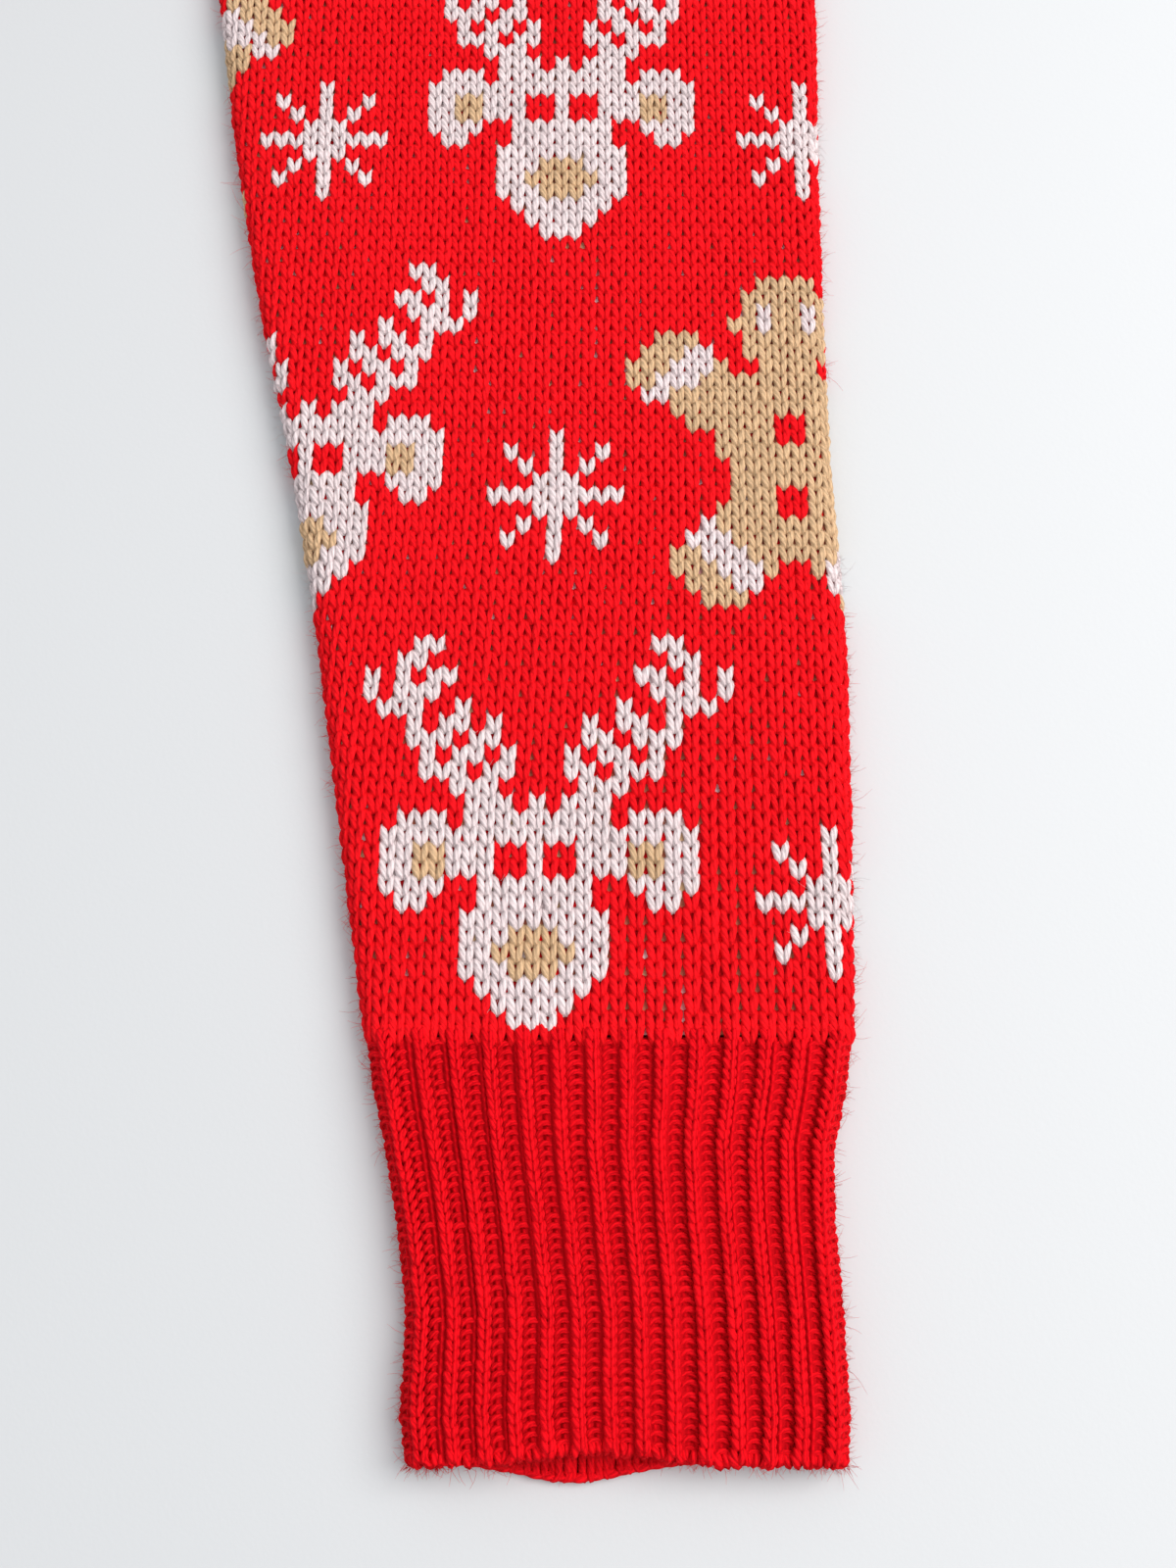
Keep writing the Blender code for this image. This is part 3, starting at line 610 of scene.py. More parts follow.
def lift(x, y):
    """Height of the upper layer's creases: each is a squared cosine along and across its line."""
    total = np.zeros_like(x)
    for centre_x, centre_y, turn, half_length, half_width, height in CREASES:
        angle = math.radians(turn)
        along = ((x - centre_x) * math.cos(angle) + (y - centre_y) * math.sin(angle)) / half_length
        across = ((y - centre_y) * math.cos(angle) - (x - centre_x) * math.sin(angle)) / half_width
        along_wave = np.cos(np.clip(along, -1, 1) * math.pi / 2) ** 2
        across_wave = np.cos(np.clip(across, -1, 1) * math.pi / 2) ** 2
        total += height * along_wave * across_wave
    return total


def bezier(start, first_bend, second_bend, end, count):
    """Points on a cubic curve."""
    t = np.linspace(0.0, 1.0, count)[:, None]
    a, b, c, d = (np.array(point) for point in (start, first_bend, second_bend, end))
    return (1 - t) ** 3 * a + 3 * (1 - t) ** 2 * t * b + 3 * (1 - t) * t ** 2 * c + t ** 3 * d


ARMHOLE = bezier(ARMPIT, *ARMHOLE_BENDS, SHOULDER_TIP, 40)
V_LINE = bezier((BAND_WIDTH / 2, V_START), V_BEND, NECK_POINT, NECK_POINT, 60)


def outer_line(y):
    """Half width of the body at a height: side seam, then armhole."""
    seam = np.array(SIDE_SEAM)
    return np.where(y < ARMPIT[1], np.interp(y, seam[:, 0], seam[:, 1]),
                    np.interp(y, ARMHOLE[:, 1], ARMHOLE[:, 0]))


def front_line(y):
    """Distance of the front's edge from the middle: straight, then the V."""
    return np.interp(y, V_LINE[:, 1], V_LINE[:, 0])


def shoulder_line(x):
    """Height of the shoulder seam."""
    return np.interp(np.abs(x), (NECK_POINT[0], SHOULDER_TIP[0]), (NECK_POINT[1], SHOULDER_TIP[1]))


def back_top_line(x):
    """Height of the back's upper edge: shoulder seams and the neck's scoop."""
    inside = np.sqrt(np.clip(1.0 - (np.abs(x) / NECK_POINT[0]) ** 2, 0.0, 1.0))
    return shoulder_line(x) - np.where(np.abs(x) < NECK_POINT[0], NECK_SCOOP * inside, 0.0)


def overlap(y):
    """One where the right band lies on the left one, falling to nought above the V."""
    low, high = OVERLAP_ENDS
    return 1.0 - smoothstep((y - low) / (high - low))


def front_base(side, x, y, from_band):
    """Underside of an upper piece; the right front climbs onto the left band beside the seam."""
    base = FRONT_BASE + lift(x, y)
    if side < 0:
        base = base + OVERLAP_RISE * overlap(y) * (1.0 - smoothstep(from_band / OVERLAP_RAMP))
    return base


# --- The sleeve's surface ---

SLEEVE_UP = np.array((-math.sin(SLEEVE_ANGLE), math.cos(SLEEVE_ANGLE)))
SLEEVE_ACROSS = np.array((math.cos(SLEEVE_ANGLE), math.sin(SLEEVE_ANGLE)))
SLEEVE_MOUTH = (np.array(ARMPIT) - SLEEVE_UP * SLEEVE_ARMPIT_ALONG
                - SLEEVE_ACROSS * SLEEVE_ARMPIT_ACROSS)


def smooth_rows(rows, count):
    """Rows of numbers resampled on a smooth curve through them (cubic, with averaged slopes)."""
    rows = np.asarray(rows, dtype=float)
    slopes = np.gradient(rows, axis=0)
    where = np.linspace(0.0, len(rows) - 1.0, count)
    left = np.minimum(where.astype(int), len(rows) - 2)
    t = (where - left)[:, None]
    start, end = rows[left], rows[left + 1]
    start_slope, end_slope = slopes[left], slopes[left + 1]
    return ((2 * t ** 3 - 3 * t ** 2 + 1) * start + (t ** 3 - 2 * t ** 2 + t) * start_slope
            + (3 * t ** 2 - 2 * t ** 3) * end + (t ** 3 - t ** 2) * end_slope)


def sleeve_lines():
    """The underarm and outer folds from the cuff's mouth upwards, as rows of along and across."""
    hole = ARMHOLE - SLEEVE_MOUTH
    hole = np.column_stack((hole @ SLEEVE_UP, hole @ SLEEVE_ACROSS))
    tip = hole[-1]
    start = (SLEEVE_ARMPIT_ALONG, SLEEVE_ARMPIT_ACROSS, tip[0], tip[1])
    rows = smooth_rows((start, *SLEEVE_EDGES), 58)[::-1]
    cuff = np.array(CUFF_EDGES)
    under = np.concatenate((cuff[:, [0, 1]], rows[:, :2], hole[1:]))
    outer = np.concatenate((cuff[:, [0, 2]], rows[:, 2:]))
    return under, outer, hole


UNDER_LINE, OUTER_LINE, HOLE_LINE = sleeve_lines()
SHOULDER_ALONG = HOLE_LINE[-1, 0]


def fold_table():
    """Length along the fold's half ellipse against its turn, from the top to the underside."""
    turns = np.linspace(0.0, math.pi, 181)
    ellipse = (FOLD_REACH * np.sin(turns), SLEEVE_HEIGHT / 2 * np.cos(turns))
    return turns, path_run(np.column_stack(ellipse))


FOLD_TURNS, FOLD_RUN = fold_table()


def fold_lines(along):
    """Places across of the underarm fold and the outer fold."""
    return (np.interp(along, UNDER_LINE[:, 0], UNDER_LINE[:, 1]),
            np.interp(along, OUTER_LINE[:, 0], OUTER_LINE[:, 1]))


def flat_limits(along):
    """Where the flat part between the folds ends; above the armpit the inner side has no fold."""
    left, right = fold_lines(along)
    inner_left = left + np.where(along > SLEEVE_ARMPIT_ALONG, 0.0, FOLD_REACH)
    return inner_left, np.maximum(right - FOLD_REACH, inner_left)


def tube_height(along, across):
    """Height of the flattened tube: low at the armhole seam, full some way down the sleeve."""
    seam = np.interp(np.minimum(across, HOLE_LINE[-1, 1]), HOLE_LINE[:, 1], HOLE_LINE[:, 0])
    ramp = np.interp(across, (SLEEVE_ARMPIT_ACROSS, HOLE_LINE[-1, 1]), (74.0, 200.0))
    share = smoothstep((seam - along) / ramp)
    return SLEEVE_FLAT_HEIGHT + (SLEEVE_HEIGHT - SLEEVE_FLAT_HEIGHT) * share


def sleeve_place(along, across):
    """Plan points of the left sleeve by their distances along and across its line."""
    return (SLEEVE_MOUTH + along[..., None] * SLEEVE_UP + across[..., None] * SLEEVE_ACROSS
            + (SEAM_GAP, 0.0))


def sleeve_plan(along, across, height):
    """Points of the left sleeve by their distances along and across its line, and their height."""
    along, across, height = np.broadcast_arrays(along, across, height)
    return np.concatenate((sleeve_place(along, across), height[..., None]), axis=-1)


def sleeve_surface(side, along, around, proud=0.0, layer=1.0):
    """Points and normals on the flattened tube.

    along runs up the sleeve and around across it, round the folds; proud is the distance outside
    the surface, and layer is 1 for the upper and -1 for the lower layer.  Between the folds the
    surface is level; at a fold it follows half an ellipse.
    """
    along, around, proud = np.broadcast_arrays(along, around, proud)
    inner_left, inner_right = flat_limits(along)
    beyond_left = np.where(along > SLEEVE_ARMPIT_ALONG, 0.0, np.maximum(inner_left - around, 0.0))
    beyond_right = np.maximum(around - inner_right, 0.0)
    sign = np.where(beyond_right > 0.0, 1.0, -1.0)
    turn = np.interp(beyond_left + beyond_right, FOLD_RUN, FOLD_TURNS)
    across = np.clip(around, inner_left, inner_right) + sign * FOLD_REACH * np.sin(turn)
    half = tube_height(along, across) / 2
    side_part, up_part = sign * np.sin(turn) / FOLD_REACH, np.cos(turn) / half
    scale = np.hypot(side_part, up_part)
    side_part, up_part = side_part / scale, up_part / scale
    across = across + side_part * proud
    plan = sleeve_place(along, across)
    z = half + layer * (half * np.cos(turn) + up_part * proud)
    if layer > 0:
        z = z + np.clip(np.cos(turn), 0.0, 1.0) * lift(plan[..., 0] * side, plan[..., 1])
    points = np.concatenate((plan * (side, 1.0), z[..., None]), axis=-1)
    outwards = side_part[..., None] * SLEEVE_ACROSS * (side, 1.0)
    normals = np.concatenate((outwards, (layer * up_part)[..., None]), axis=-1)
    return points, normals


def sleeve_columns(along, wrap):
    """First and last places around the upper layer, out to the given turn round each fold."""
    inner_left, inner_right = flat_limits(along)
    reach = float(np.interp(wrap, FOLD_TURNS, FOLD_RUN))
    return inner_left - np.where(along > SLEEVE_ARMPIT_ALONG, 0.0, reach), inner_right + reach


# --- Yarn stitches of the left sleeve ---

WALE_NOUGHT = -8.0      # place round the sleeve of the wale that the chart counts from
FIRST_COURSE = CUFF_TOP + 1.0
SEEN_WRAP = math.radians(128.0)   # how far round a fold the stitches reach
JACQUARD_LEG = (0.125, 0.385)     # a leg's foot and shoulder, in wales from the stitch's middle
RIB_LEG = (0.045, 0.145)          # the same for a rib, in its pitch


def wale_drift(along, around):
    """How far the wales lean aside: left near the cuff and right further up, on the inner half."""
    lean = np.interp(along, (83.0, 125.0, 200.0, 280.0), (-4.0, -3.5, 0.4, 1.4))
    inner = 1.0 - smoothstep(around / 45.0)
    far = smoothstep((along - 130.0) / 70.0) * smoothstep((-25.0 - around) / 40.0)
    return lean * inner + 2.0 * far


def jacquard_stitches():
    """Places of the upper layer's stitches: wale and course numbers, and where they start."""
    held = sizes()
    wale, course = held["wale"], held["course"]
    courses = np.arange(-1, int((SHOULDER_ALONG - CUFF_TOP) / course))
    wales = np.arange(-40, 30)
    course_grid, wale_grid = np.meshgrid(courses, wales, indexing="ij")
    along = FIRST_COURSE + np.maximum(course_grid, -0.65) * course
    around = WALE_NOUGHT + wale_grid * wale
    around = around + wale_drift(along, around)
    low, high = sleeve_columns(along + course / 2, SEEN_WRAP)
    seam = along + course / 2 > SLEEVE_ARMPIT_ALONG
    kept = (around > low + np.where(seam, wale * 0.4, 0.0)) & (around < high) & (high - low > 12.0)
    kept &= along + course < SHOULDER_ALONG - 4.0
    return course_grid[kept], wale_grid[kept], along[kept], around[kept]


def v_legs(places, width, height, feet, heads, radius, rise, rings, generator, ridge=0.0,
           drawn=None):
    """Both legs of many stitches: each climbs from the stitch's foot to its shoulder on an S-shaped
    line, and rises over the cloth between its two sunk ends.  drawn shifts the places along."""
    along, around = places
    strayed = sizes()["unevenness"]
    t = np.linspace(0.0, 1.0, rings)
    paths, normals, radii = [], [], []
    for hand in (-1.0, 1.0):
        count = len(along)
        shift_u, shift_v = generator.normal(0.0, strayed, (2, count, 1))
        shift_z = generator.normal(0.0, strayed, (count, 1))
        thick = radius * (1.0 + generator.normal(0.0, 0.07, (count, 1)))
        offset = (feet + (heads - feet) * smoothstep(t)) * width
        u = around[:, None] + hand * offset[None, :] + shift_u * np.sin(math.pi * t)
        v = along[:, None] + (-0.16 + 1.34 * t)[None, :] * height + shift_v
        arch = np.sin(math.pi * np.clip(t * 0.96 + 0.03, 0, 1)) ** 0.8
        proud = ridge + (-0.55 + (rise + 0.55) * arch)[None, :] + shift_z * arch
        spots, outward = sleeve_surface(1, drawn(v, u) if drawn else v, u, proud)
        spots[..., 2] = np.maximum(spots[..., 2], radius + 0.02)
        paths.append(spots)
        normals.append(outward)
        taper = 0.70 + 0.30 * np.sin(math.pi * np.clip(t, 0.0, 1.0)) ** 0.6
        radii.append(thick * taper[None, :])
    return np.concatenate(paths), np.concatenate(normals), np.concatenate(radii)


def declare(thing, nodes):
    """The piece rides with the garment and stands for its solids, which are hidden."""
    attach(thing, "root")
    if nodes:
        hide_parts(*nodes)
    return thing


CLOSE_REACH = 342.0     # how far up the sleeve the stitches are seen close up
CLOSE_STITCH = (5, 5, 1.0)   # rings along a leg, points round it and its radius in yarns
PLAIN_STITCH = (4, 3, 1.2)   # three points lie flat side up, and stouter, so they cover as much


def sleeve_yarn():
    """The upper layer of the left sleeve, stitch by stitch: the red in two pieces, so that none
    has too many faces, and one for each other colour."""
    held = sizes()
    generator = np.random.default_rng(11)
    course_numbers, wale_numbers, along, around = jacquard_stitches()
    colour = np.where(course_numbers < 0, RED, pattern_at(wale_numbers, course_numbers))
    near = along < CLOSE_REACH
    pieces = []
    for name, number, reaches, finish in (("red_lower", RED, (near,), "acrylic_yarn_red"),
                                          ("red_upper", RED, (~near,), "acrylic_yarn_red"),
                                          ("white", WHITE, (near, ~near), "acrylic_yarn_white"),
                                          ("tan", TAN, (near, ~near), "acrylic_yarn_tan")):
        parts = []
        for reach in reaches:
            chosen = reach & (colour == number)
            rings, sides, stout = CLOSE_STITCH if reach is near else PLAIN_STITCH
            legs = v_legs((along[chosen], around[chosen]), held["wale"], held["course"],
                          *JACQUARD_LEG, stout * held["yarn"], 0.30, rings, generator)
            parts.append(yarn_parts(*legs, sides=sides))
        thing = make_object("sleeve_left_" + name, parts, [finish], "yarn")
        pieces.append(declare(thing, ()))
    return pieces


def cuff_place(rib, along, phase):
    """Place around the cuff of a rib's point, phase being nought to one across the rib."""
    left, right = fold_lines(along)
    pitch = (right - left) / CUFF_RIBS
    return (left + right) / 2 + (rib + phase - CUFF_RIBS / 2) * pitch, pitch


def cuff_yarn():
    """The upper layer of the left cuff: pairs of legs on each rib, sunk arcs between the ribs, and
    the loops that end them at the mouth, on both layers."""
    held = sizes()
    generator = np.random.default_rng(12)
    course = held["rib_course"]
    ribs, courses = np.meshgrid(np.arange(-1, CUFF_RIBS + 1), np.arange(0, 41), indexing="ij")
    ribs, courses = ribs.ravel(), courses.ravel()
    along = 0.9 + courses * course
    around, pitch = cuff_place(ribs, along + course / 2, 0.5)
    low, high = sleeve_columns(along, SEEN_WRAP)
    kept = (around > low) & (around < high)
    crest = np.where((ribs >= 0) & (ribs < CUFF_RIBS), 0.75, 0.1)[kept][:, None]
    legs = v_legs((along[kept], around[kept]), 6.2, course, *RIB_LEG,
                  held["rib_yarn"], 0.35, 5, generator, ridge=crest, drawn=drawn_back)
    parts = [yarn_parts(*legs)]
    around, pitch = cuff_place(ribs, along + course / 2, 0.0)
    kept = (around > low) & (around < high) & (courses < 40)
    count = int(kept.sum())
    t = np.linspace(-1.0, 1.0, 6)
    at_fold = ((ribs == 0) | (ribs == CUFF_RIBS))[kept][:, None]
    u = around[kept][:, None] + t * pitch[kept][:, None] * np.where(at_fold, 0.40, 0.31)
    u = u + generator.normal(-0.05, 0.10, (count, 1))
    v = (along[kept][:, None] + course * (0.25 + 0.60 * (1.0 - t ** 2))[None, :]
         + generator.normal(0.0, 0.13, (count, 1)))
    proud = (-0.42 - 0.15 * t - 0.28 * t ** 2)[None, :] + generator.normal(0.0, 0.10, (count, 1))
    spots, outward = sleeve_surface(1, drawn_back(v, u), u, proud + np.where(at_fold, 0.5, 0.0))
    thick = 0.63 * (1.0 + generator.normal(0.0, 0.08, (count, 1))) * np.ones_like(u)
    parts.append(yarn_parts(spots, outward, thick))
    parts += mouth_loops(generator)
    return declare(make_object("cuff_left_yarn", parts, ["acrylic_yarn_rib_red"], "yarn"),
                   ())


def mouth_reach(share):
    """How far the lower layer reaches past the mouth's line: a hill left of its middle."""
    return 3.2 * (1.0 - smoothstep(np.abs(share - 0.38) / 0.27))


def drawn_back(along, around):
    """Places along the upper layer of a cuff, drawn back from the mouth over its lower lip."""
    left, right = fold_lines(np.maximum(along, 0.0))
    share = (around - left) / (right - left)
    hill = 1.0 - smoothstep(np.abs(share - 0.44) / 0.32)
    return along + 2.3 * hill * (1.0 - smoothstep(along / 30.0))


def mouth_loops(generator):
    """The edge of the mouth: short loops that turn round the edge of each layer on a part of a
    circle, and the lower layer's columns, which show between the two edges."""
    left, right = fold_lines(np.array(0.0))
    pitch = (right - left) / CUFF_RIBS
    low, high = sleeve_columns(np.array(0.0), math.radians(105.0))
    places = np.arange(low + 0.5, high, pitch / 4)
    turn = np.radians(np.linspace(-70.0, 130.0, 6))[None, :]
    count = (len(places), 1)
    crest = np.cos(math.tau * ((places - left) / pitch - 0.5))[:, None]
    lean = generator.normal(0.0, 0.55, count)
    u = places[:, None] + generator.normal(0.0, 0.16, count) + lean * turn / 2
    v = 1.05 - 1.1 * np.sin(turn) + generator.normal(0.0, 0.18, count)
    proud = -1.0 + 1.1 * np.cos(turn) + 0.45 * crest + generator.normal(0.0, 0.12, count)
    spots, outward = sleeve_surface(1, drawn_back(v, u), u, proud)
    swell = 1.0 + generator.normal(0.0, 0.10, count)
    parts = [yarn_parts(spots, outward, 0.78 * swell * np.ones_like(u))]
    share = np.linspace(0.12, 0.80, 160)
    wander = np.interp(share, np.linspace(0.12, 0.80, 24), generator.normal(0.0, 0.15, 24))
    knots = np.cos(math.tau * CUFF_RIBS * 2 * share)
    spots = sleeve_plan(0.55 - mouth_reach(share) + wander, left + (right - left) * share,
                        1.3 + 0.15 * knots)
    parts.append(level_yarn(spots[None], (0.98 + 0.08 * knots)[None]))
    share = np.arange(0.04, 0.97, 0.25 / CUFF_RIBS)
    count = (len(share), 1)
    start = (0.9 - mouth_reach(share))[:, None]
    across = (left + (right - left) * share)[:, None] + generator.normal(0.0, 0.18, count)
    crest = np.cos(math.tau * CUFF_RIBS * share)[:, None]
    v = start - 0.65 * np.sin(turn) + generator.normal(0.0, 0.15, count)
    height = 1.0 + 0.8 * np.cos(turn) + 0.2 * crest
    spots = sleeve_plan(v, across + generator.normal(0.0, 0.5, count) * turn / 2,
                        np.maximum(height, 0.8))
    parts.append(level_yarn(spots, 0.74))
    along = start + (9.0 - start) * np.linspace(0.0, 1.0, 12)[None, :]
    height = 1.45 + 0.28 * crest + 0.16 * np.sin(along * math.tau / 2.04 + crest)
    spots = sleeve_plan(along, across + 0 * along, height)
    parts.append(level_yarn(spots, 0.84))
    return parts


def stray_fibres():
    """Fine fibres that stand off the yarn: short ones all over the upper layer and longer ones at
    its folds and mouth.  Each is a parabola that starts inside the yarn."""
    held = sizes()
    generator = np.random.default_rng(13)
    count = bpy.context.scene.cardigan_sizes.fibre_count
    along = generator.uniform(-0.4, CLOSE_REACH, count)
    low, high = sleeve_columns(along, math.radians(100.0))
    share = generator.uniform(0.0, 1.0, count)
    kind = generator.uniform(0.0, 1.0, count)
    at_left, at_right, mouth = kind < 0.28, (kind >= 0.28) & (kind < 0.56), kind > 0.86
    share = np.where(at_left, 0.025 * share, np.where(at_right, 1.0 - 0.025 * share, share))
    along = np.where(mouth, generator.uniform(-0.7, 0.5, count), along)
    around = low + (high - low) * share
    start, normal = sleeve_surface(1, drawn_back(along, around), around, 0.35)
    standing = at_left | at_right | mouth
    sideways = generator.normal(0.0, 1.0, (count, 3)) * (1.0, 1.0, 0.35)
    sideways[mouth, :2] -= 1.5 * SLEEVE_UP
    heading = normal * np.where(standing, 0.9, 0.30)[:, None] + sideways * 0.6
    heading /= np.linalg.norm(heading, axis=1, keepdims=True)
    bend = np.cross(heading, generator.normal(0.0, 1.0, (count, 3))) * 0.8
    length = np.minimum(held["fibre"] * np.exp(generator.normal(-0.45, 0.42, count)), 6.5)
    t = np.linspace(0.0, 1.0, 4)[None, :, None]
    size = length[:, None, None]
    paths = start[:, None, :] + size * (heading[:, None, :] * t + 0.45 * bend[:, None, :] * t ** 2)
    paths[..., 2] = np.maximum(paths[..., 2], 0.1)
    paths += np.linspace(0.0, 1e-3, 4)[None, :, None]
    normals = np.broadcast_to((0.31, 0.17, 0.93), paths.shape)
    radii = np.broadcast_to(np.array((0.042, 0.038, 0.033, 0.016)), paths.shape[:2])
    straight = around - wale_drift(along, around)
    wale = np.round((straight - WALE_NOUGHT) / held["wale"]).astype(int)
    course = np.floor((along - FIRST_COURSE) / held["course"]).astype(int)
    colour = np.where(along > CUFF_TOP, pattern_at(wale, course), RED)
    made = []
    for word, number in (("red", RED), ("white", WHITE)):
        chosen = colour == number
        part = yarn_parts(paths[chosen], normals[chosen], radii[chosen], sides=3, flatness=1.0)
        thing = make_object("fibres_" + word, [part], ["acrylic_yarn_" + word], "yarn")
        made.append(declare(thing, ()))
    return made


# --- Knitted cloth ---

CHEVRON = 0.35          # how far a row climbs from a wale's edge to its middle, in courses
CLOTH_LOW = -BODY_LENGTH + HEM_HEIGHT
GROUND_DEPTH = -0.50


def stitch_grid(wales, courses, per_wale):
    """Wale and course numbers of a grid's points, with chevron rows, the stitches of its faces and
    their UV map."""
    columns = np.arange(wales[0] * per_wale, wales[1] * per_wale + 1) / per_wale - 0.5
    rows = np.arange(courses[0], courses[1] + 1)
    tilt = (CHEVRON if per_wale == 2 else 0.0) * (np.abs((columns % 1.0) - 0.5) * -4.0 + 1.0)
    wale_grid, course_grid = np.meshgrid(columns, rows)
    middle = (wale_grid[:-1, :-1] + wale_grid[:-1, 1:]) / 2
    stitches = (np.floor(middle + 0.5).astype(int).ravel(),
                course_grid[:-1, :-1].astype(int).ravel())
    uv = grid_corners(np.stack((wale_grid + 0.5, course_grid.astype(float)), axis=-1))
    return wale_grid, course_grid + tilt[None, :], stitches, uv


def stitched(points, stitches, uv, turned):
    """A part of cloth from its grid of points, each face in its stitch's colour of the chart."""
    return welded(points.reshape(-1, 3), grid_faces(*points.shape[:2]), uv,
                  chart_colours(pattern_at(*stitches)), turned)


def double_cloth(name, node, part, thickness):
    """A piece of cloth with a second layer inside it, which shows the jacquard's reverse."""
    thing = make_object(name, [part], JACQUARD)
    wall = thing.modifiers.new("thickness", "SOLIDIFY")
    wall.thickness = thickness * MM
    wall.offset, wall.material_offset, wall.material_offset_rim = -1.0, 1, 0
    return declare(thing, (node,))


def front_cloth(name, side):
    """A front: a grid of stitches cut to the band's seam, the side seam, armhole and shoulder."""
    held = sizes()
    wales, courses, stitches, uv = stitch_grid((-16, 52), (-1, 152), 2)
    x = 70.0 + wales * held["wale"]
    y = np.clip(CLOTH_LOW + courses * held["course"], CLOTH_LOW, shoulder_line(x))
    inner = front_line(y)
    x = np.clip(x, inner, outer_line(y))
    z = front_base(side, x * side, y, x - inner) + CLOTH - 0.1
    part = stitched(np.stack((x * side, y, z), axis=-1), stitches, uv, side < 0)
    return double_cloth(name, name.replace("_cloth", ""), part, CLOTH - 0.2)


def back_cloth():
    """The back: its right side lies on the surface, its reverse shows inside the V."""
    held = sizes()
    wales, courses, stitches, uv = stitch_grid((-72, 73), (-1, 152), 1)
    x = wales * held["wale"]
    y = np.clip(CLOTH_LOW + courses * held["course"], CLOTH_LOW, back_top_line(x))
    edge = outer_line(y)
    x = np.clip(x, -edge, edge)
    part = stitched(np.stack((x, y, np.full_like(x, 0.05)), axis=-1), stitches, uv, True)
    return double_cloth("back_cloth", "back", part, CLOTH - 0.1)


def sleeve_half(side, layer):
    """One layer of a sleeve as a grid of stitches between the middles of its folds."""
    held = sizes()
    count = int((SHOULDER_ALONG - CUFF_TOP) / held["course"])
    wales, courses, stitches, uv = stitch_grid((-34, 22), (-1, count), 2)
    start = CUFF_TOP + 0.2
    along = np.clip(start + courses * held["course"], start, SHOULDER_ALONG - 1.0)
    low, high = sleeve_columns(along, math.pi / 2)
    around = np.clip(WALE_NOUGHT + wales * held["wale"], low, high)
    points, _ = sleeve_surface(side, along, around, 0.0, layer)
    points[..., 2] = np.maximum(points[..., 2], 0.02)
    return stitched(points, stitches, uv, side * layer < 0)


def sleeve_ground():
    """The cloth behind the left sleeve's stitches: its reverse, a little below the surface, in the
    reverse's colours, which are painted as shade.
    """
    held = sizes()
    count = int((SHOULDER_ALONG - CUFF_TOP) / 7.0)
    along = np.linspace(CUFF_TOP + 0.2, SHOULDER_ALONG - 3.0, count)[:, None]
    low, high = sleeve_columns(along, math.pi / 2)
    around = low + (high - low) * np.linspace(0.0, 1.0, 61)[None, :]
    along = np.broadcast_to(along, around.shape)
    points, _ = sleeve_surface(1, along, around, GROUND_DEPTH)
    straight = around - wale_drift(along, around - wale_drift(along, around))
    uv = grid_corners(np.stack(((straight - WALE_NOUGHT) / held["wale"] + 0.5,
                                (along - CUFF_TOP) / held["course"]), axis=-1))
    return points.reshape(-1, 3), [(grid_faces(*around.shape), uv, None, 1)]


def left_sleeve_cloth():
    """The left sleeve's cloth: the ground behind its stitches, and its lower layer."""
    thing = make_object("sleeve_left_cloth", [sleeve_ground(), sleeve_half(1, -1)], JACQUARD)
    return declare(thing, ("sleeve_left",))


def right_sleeve_cloth():
    """The right sleeve, both layers."""
    parts = [sleeve_half(-1, 1), sleeve_half(-1, -1)]
    thing = make_object("sleeve_right_cloth", parts, JACQUARD[:1])
    return declare(thing, ("sleeve_right",))


# --- Ribs ---

RIB_POINTS = 8
BAND_RIBS = 5


def rib_wave(phase):
    """Height of a rib's crest: a rounded hill in the middle half of each rib."""
    return np.clip(0.5 - 0.72 * np.cos(phase * math.tau), 0.0, 1.0) ** 0.8


def rib_top(phase):
    """Height of a hem's or front band's upper side over its base: the wall and its ribs."""
    return RIB_WALL - 0.3 + (RIB_HEIGHT + 0.3) * rib_wave(phase)


def closed_slab(top, bottom, uv):
    """A closed wall between two grids of points of the same shape."""
    rows, columns = top.shape[:2]
    size = rows * columns
    index = np.arange(size).reshape(rows, columns)
    faces = [grid_faces(rows, columns), grid_faces(rows, columns, size)[:, ::-1]]
    for line in (index[0], index[:, -1], index[-1, ::-1], index[::-1, 0]):
        faces.append(np.stack((line[:-1], line[:-1] + size, line[1:] + size, line[1:]), axis=-1))
    faces = np.concatenate(faces)
    points = np.concatenate((top.reshape(-1, 3), bottom.reshape(-1, 3)))
    return points, faces, uv.reshape(-1, 2)[faces % size]


def slab_object(name, plan, low, high, uv, mirrored=False):
    """A ribbed strip over its plan between two heights, mirrored for the right side."""
    bottom, top = (np.dstack((plan, np.broadcast_to(z, plan.shape[:2]))) for z in (low, high))
    points, faces, corners = closed_slab(top, bottom, uv)
    if mirrored:
        points, faces, corners = points * (-1.0, 1.0, 1.0), faces[:, ::-1], corners[:, ::-1]
    thing = make_object(name, [(points, [(faces, corners, None, 0)])], ["acrylic_rib_knit_red"])
    return declare(thing, (name.replace("_rib", ""),))


def rib_phases(count):
    """Places across a row of ribs, each of them from one whole number to the next."""
    return np.linspace(0.0, count, count * RIB_POINTS + 1)[None, :]


def rib_uv(phase, along):
    """Ribs across and courses along, for every point of a grid."""
    return np.stack(np.broadcast_arrays(phase, along / sizes()["rib_course"]), axis=-1)


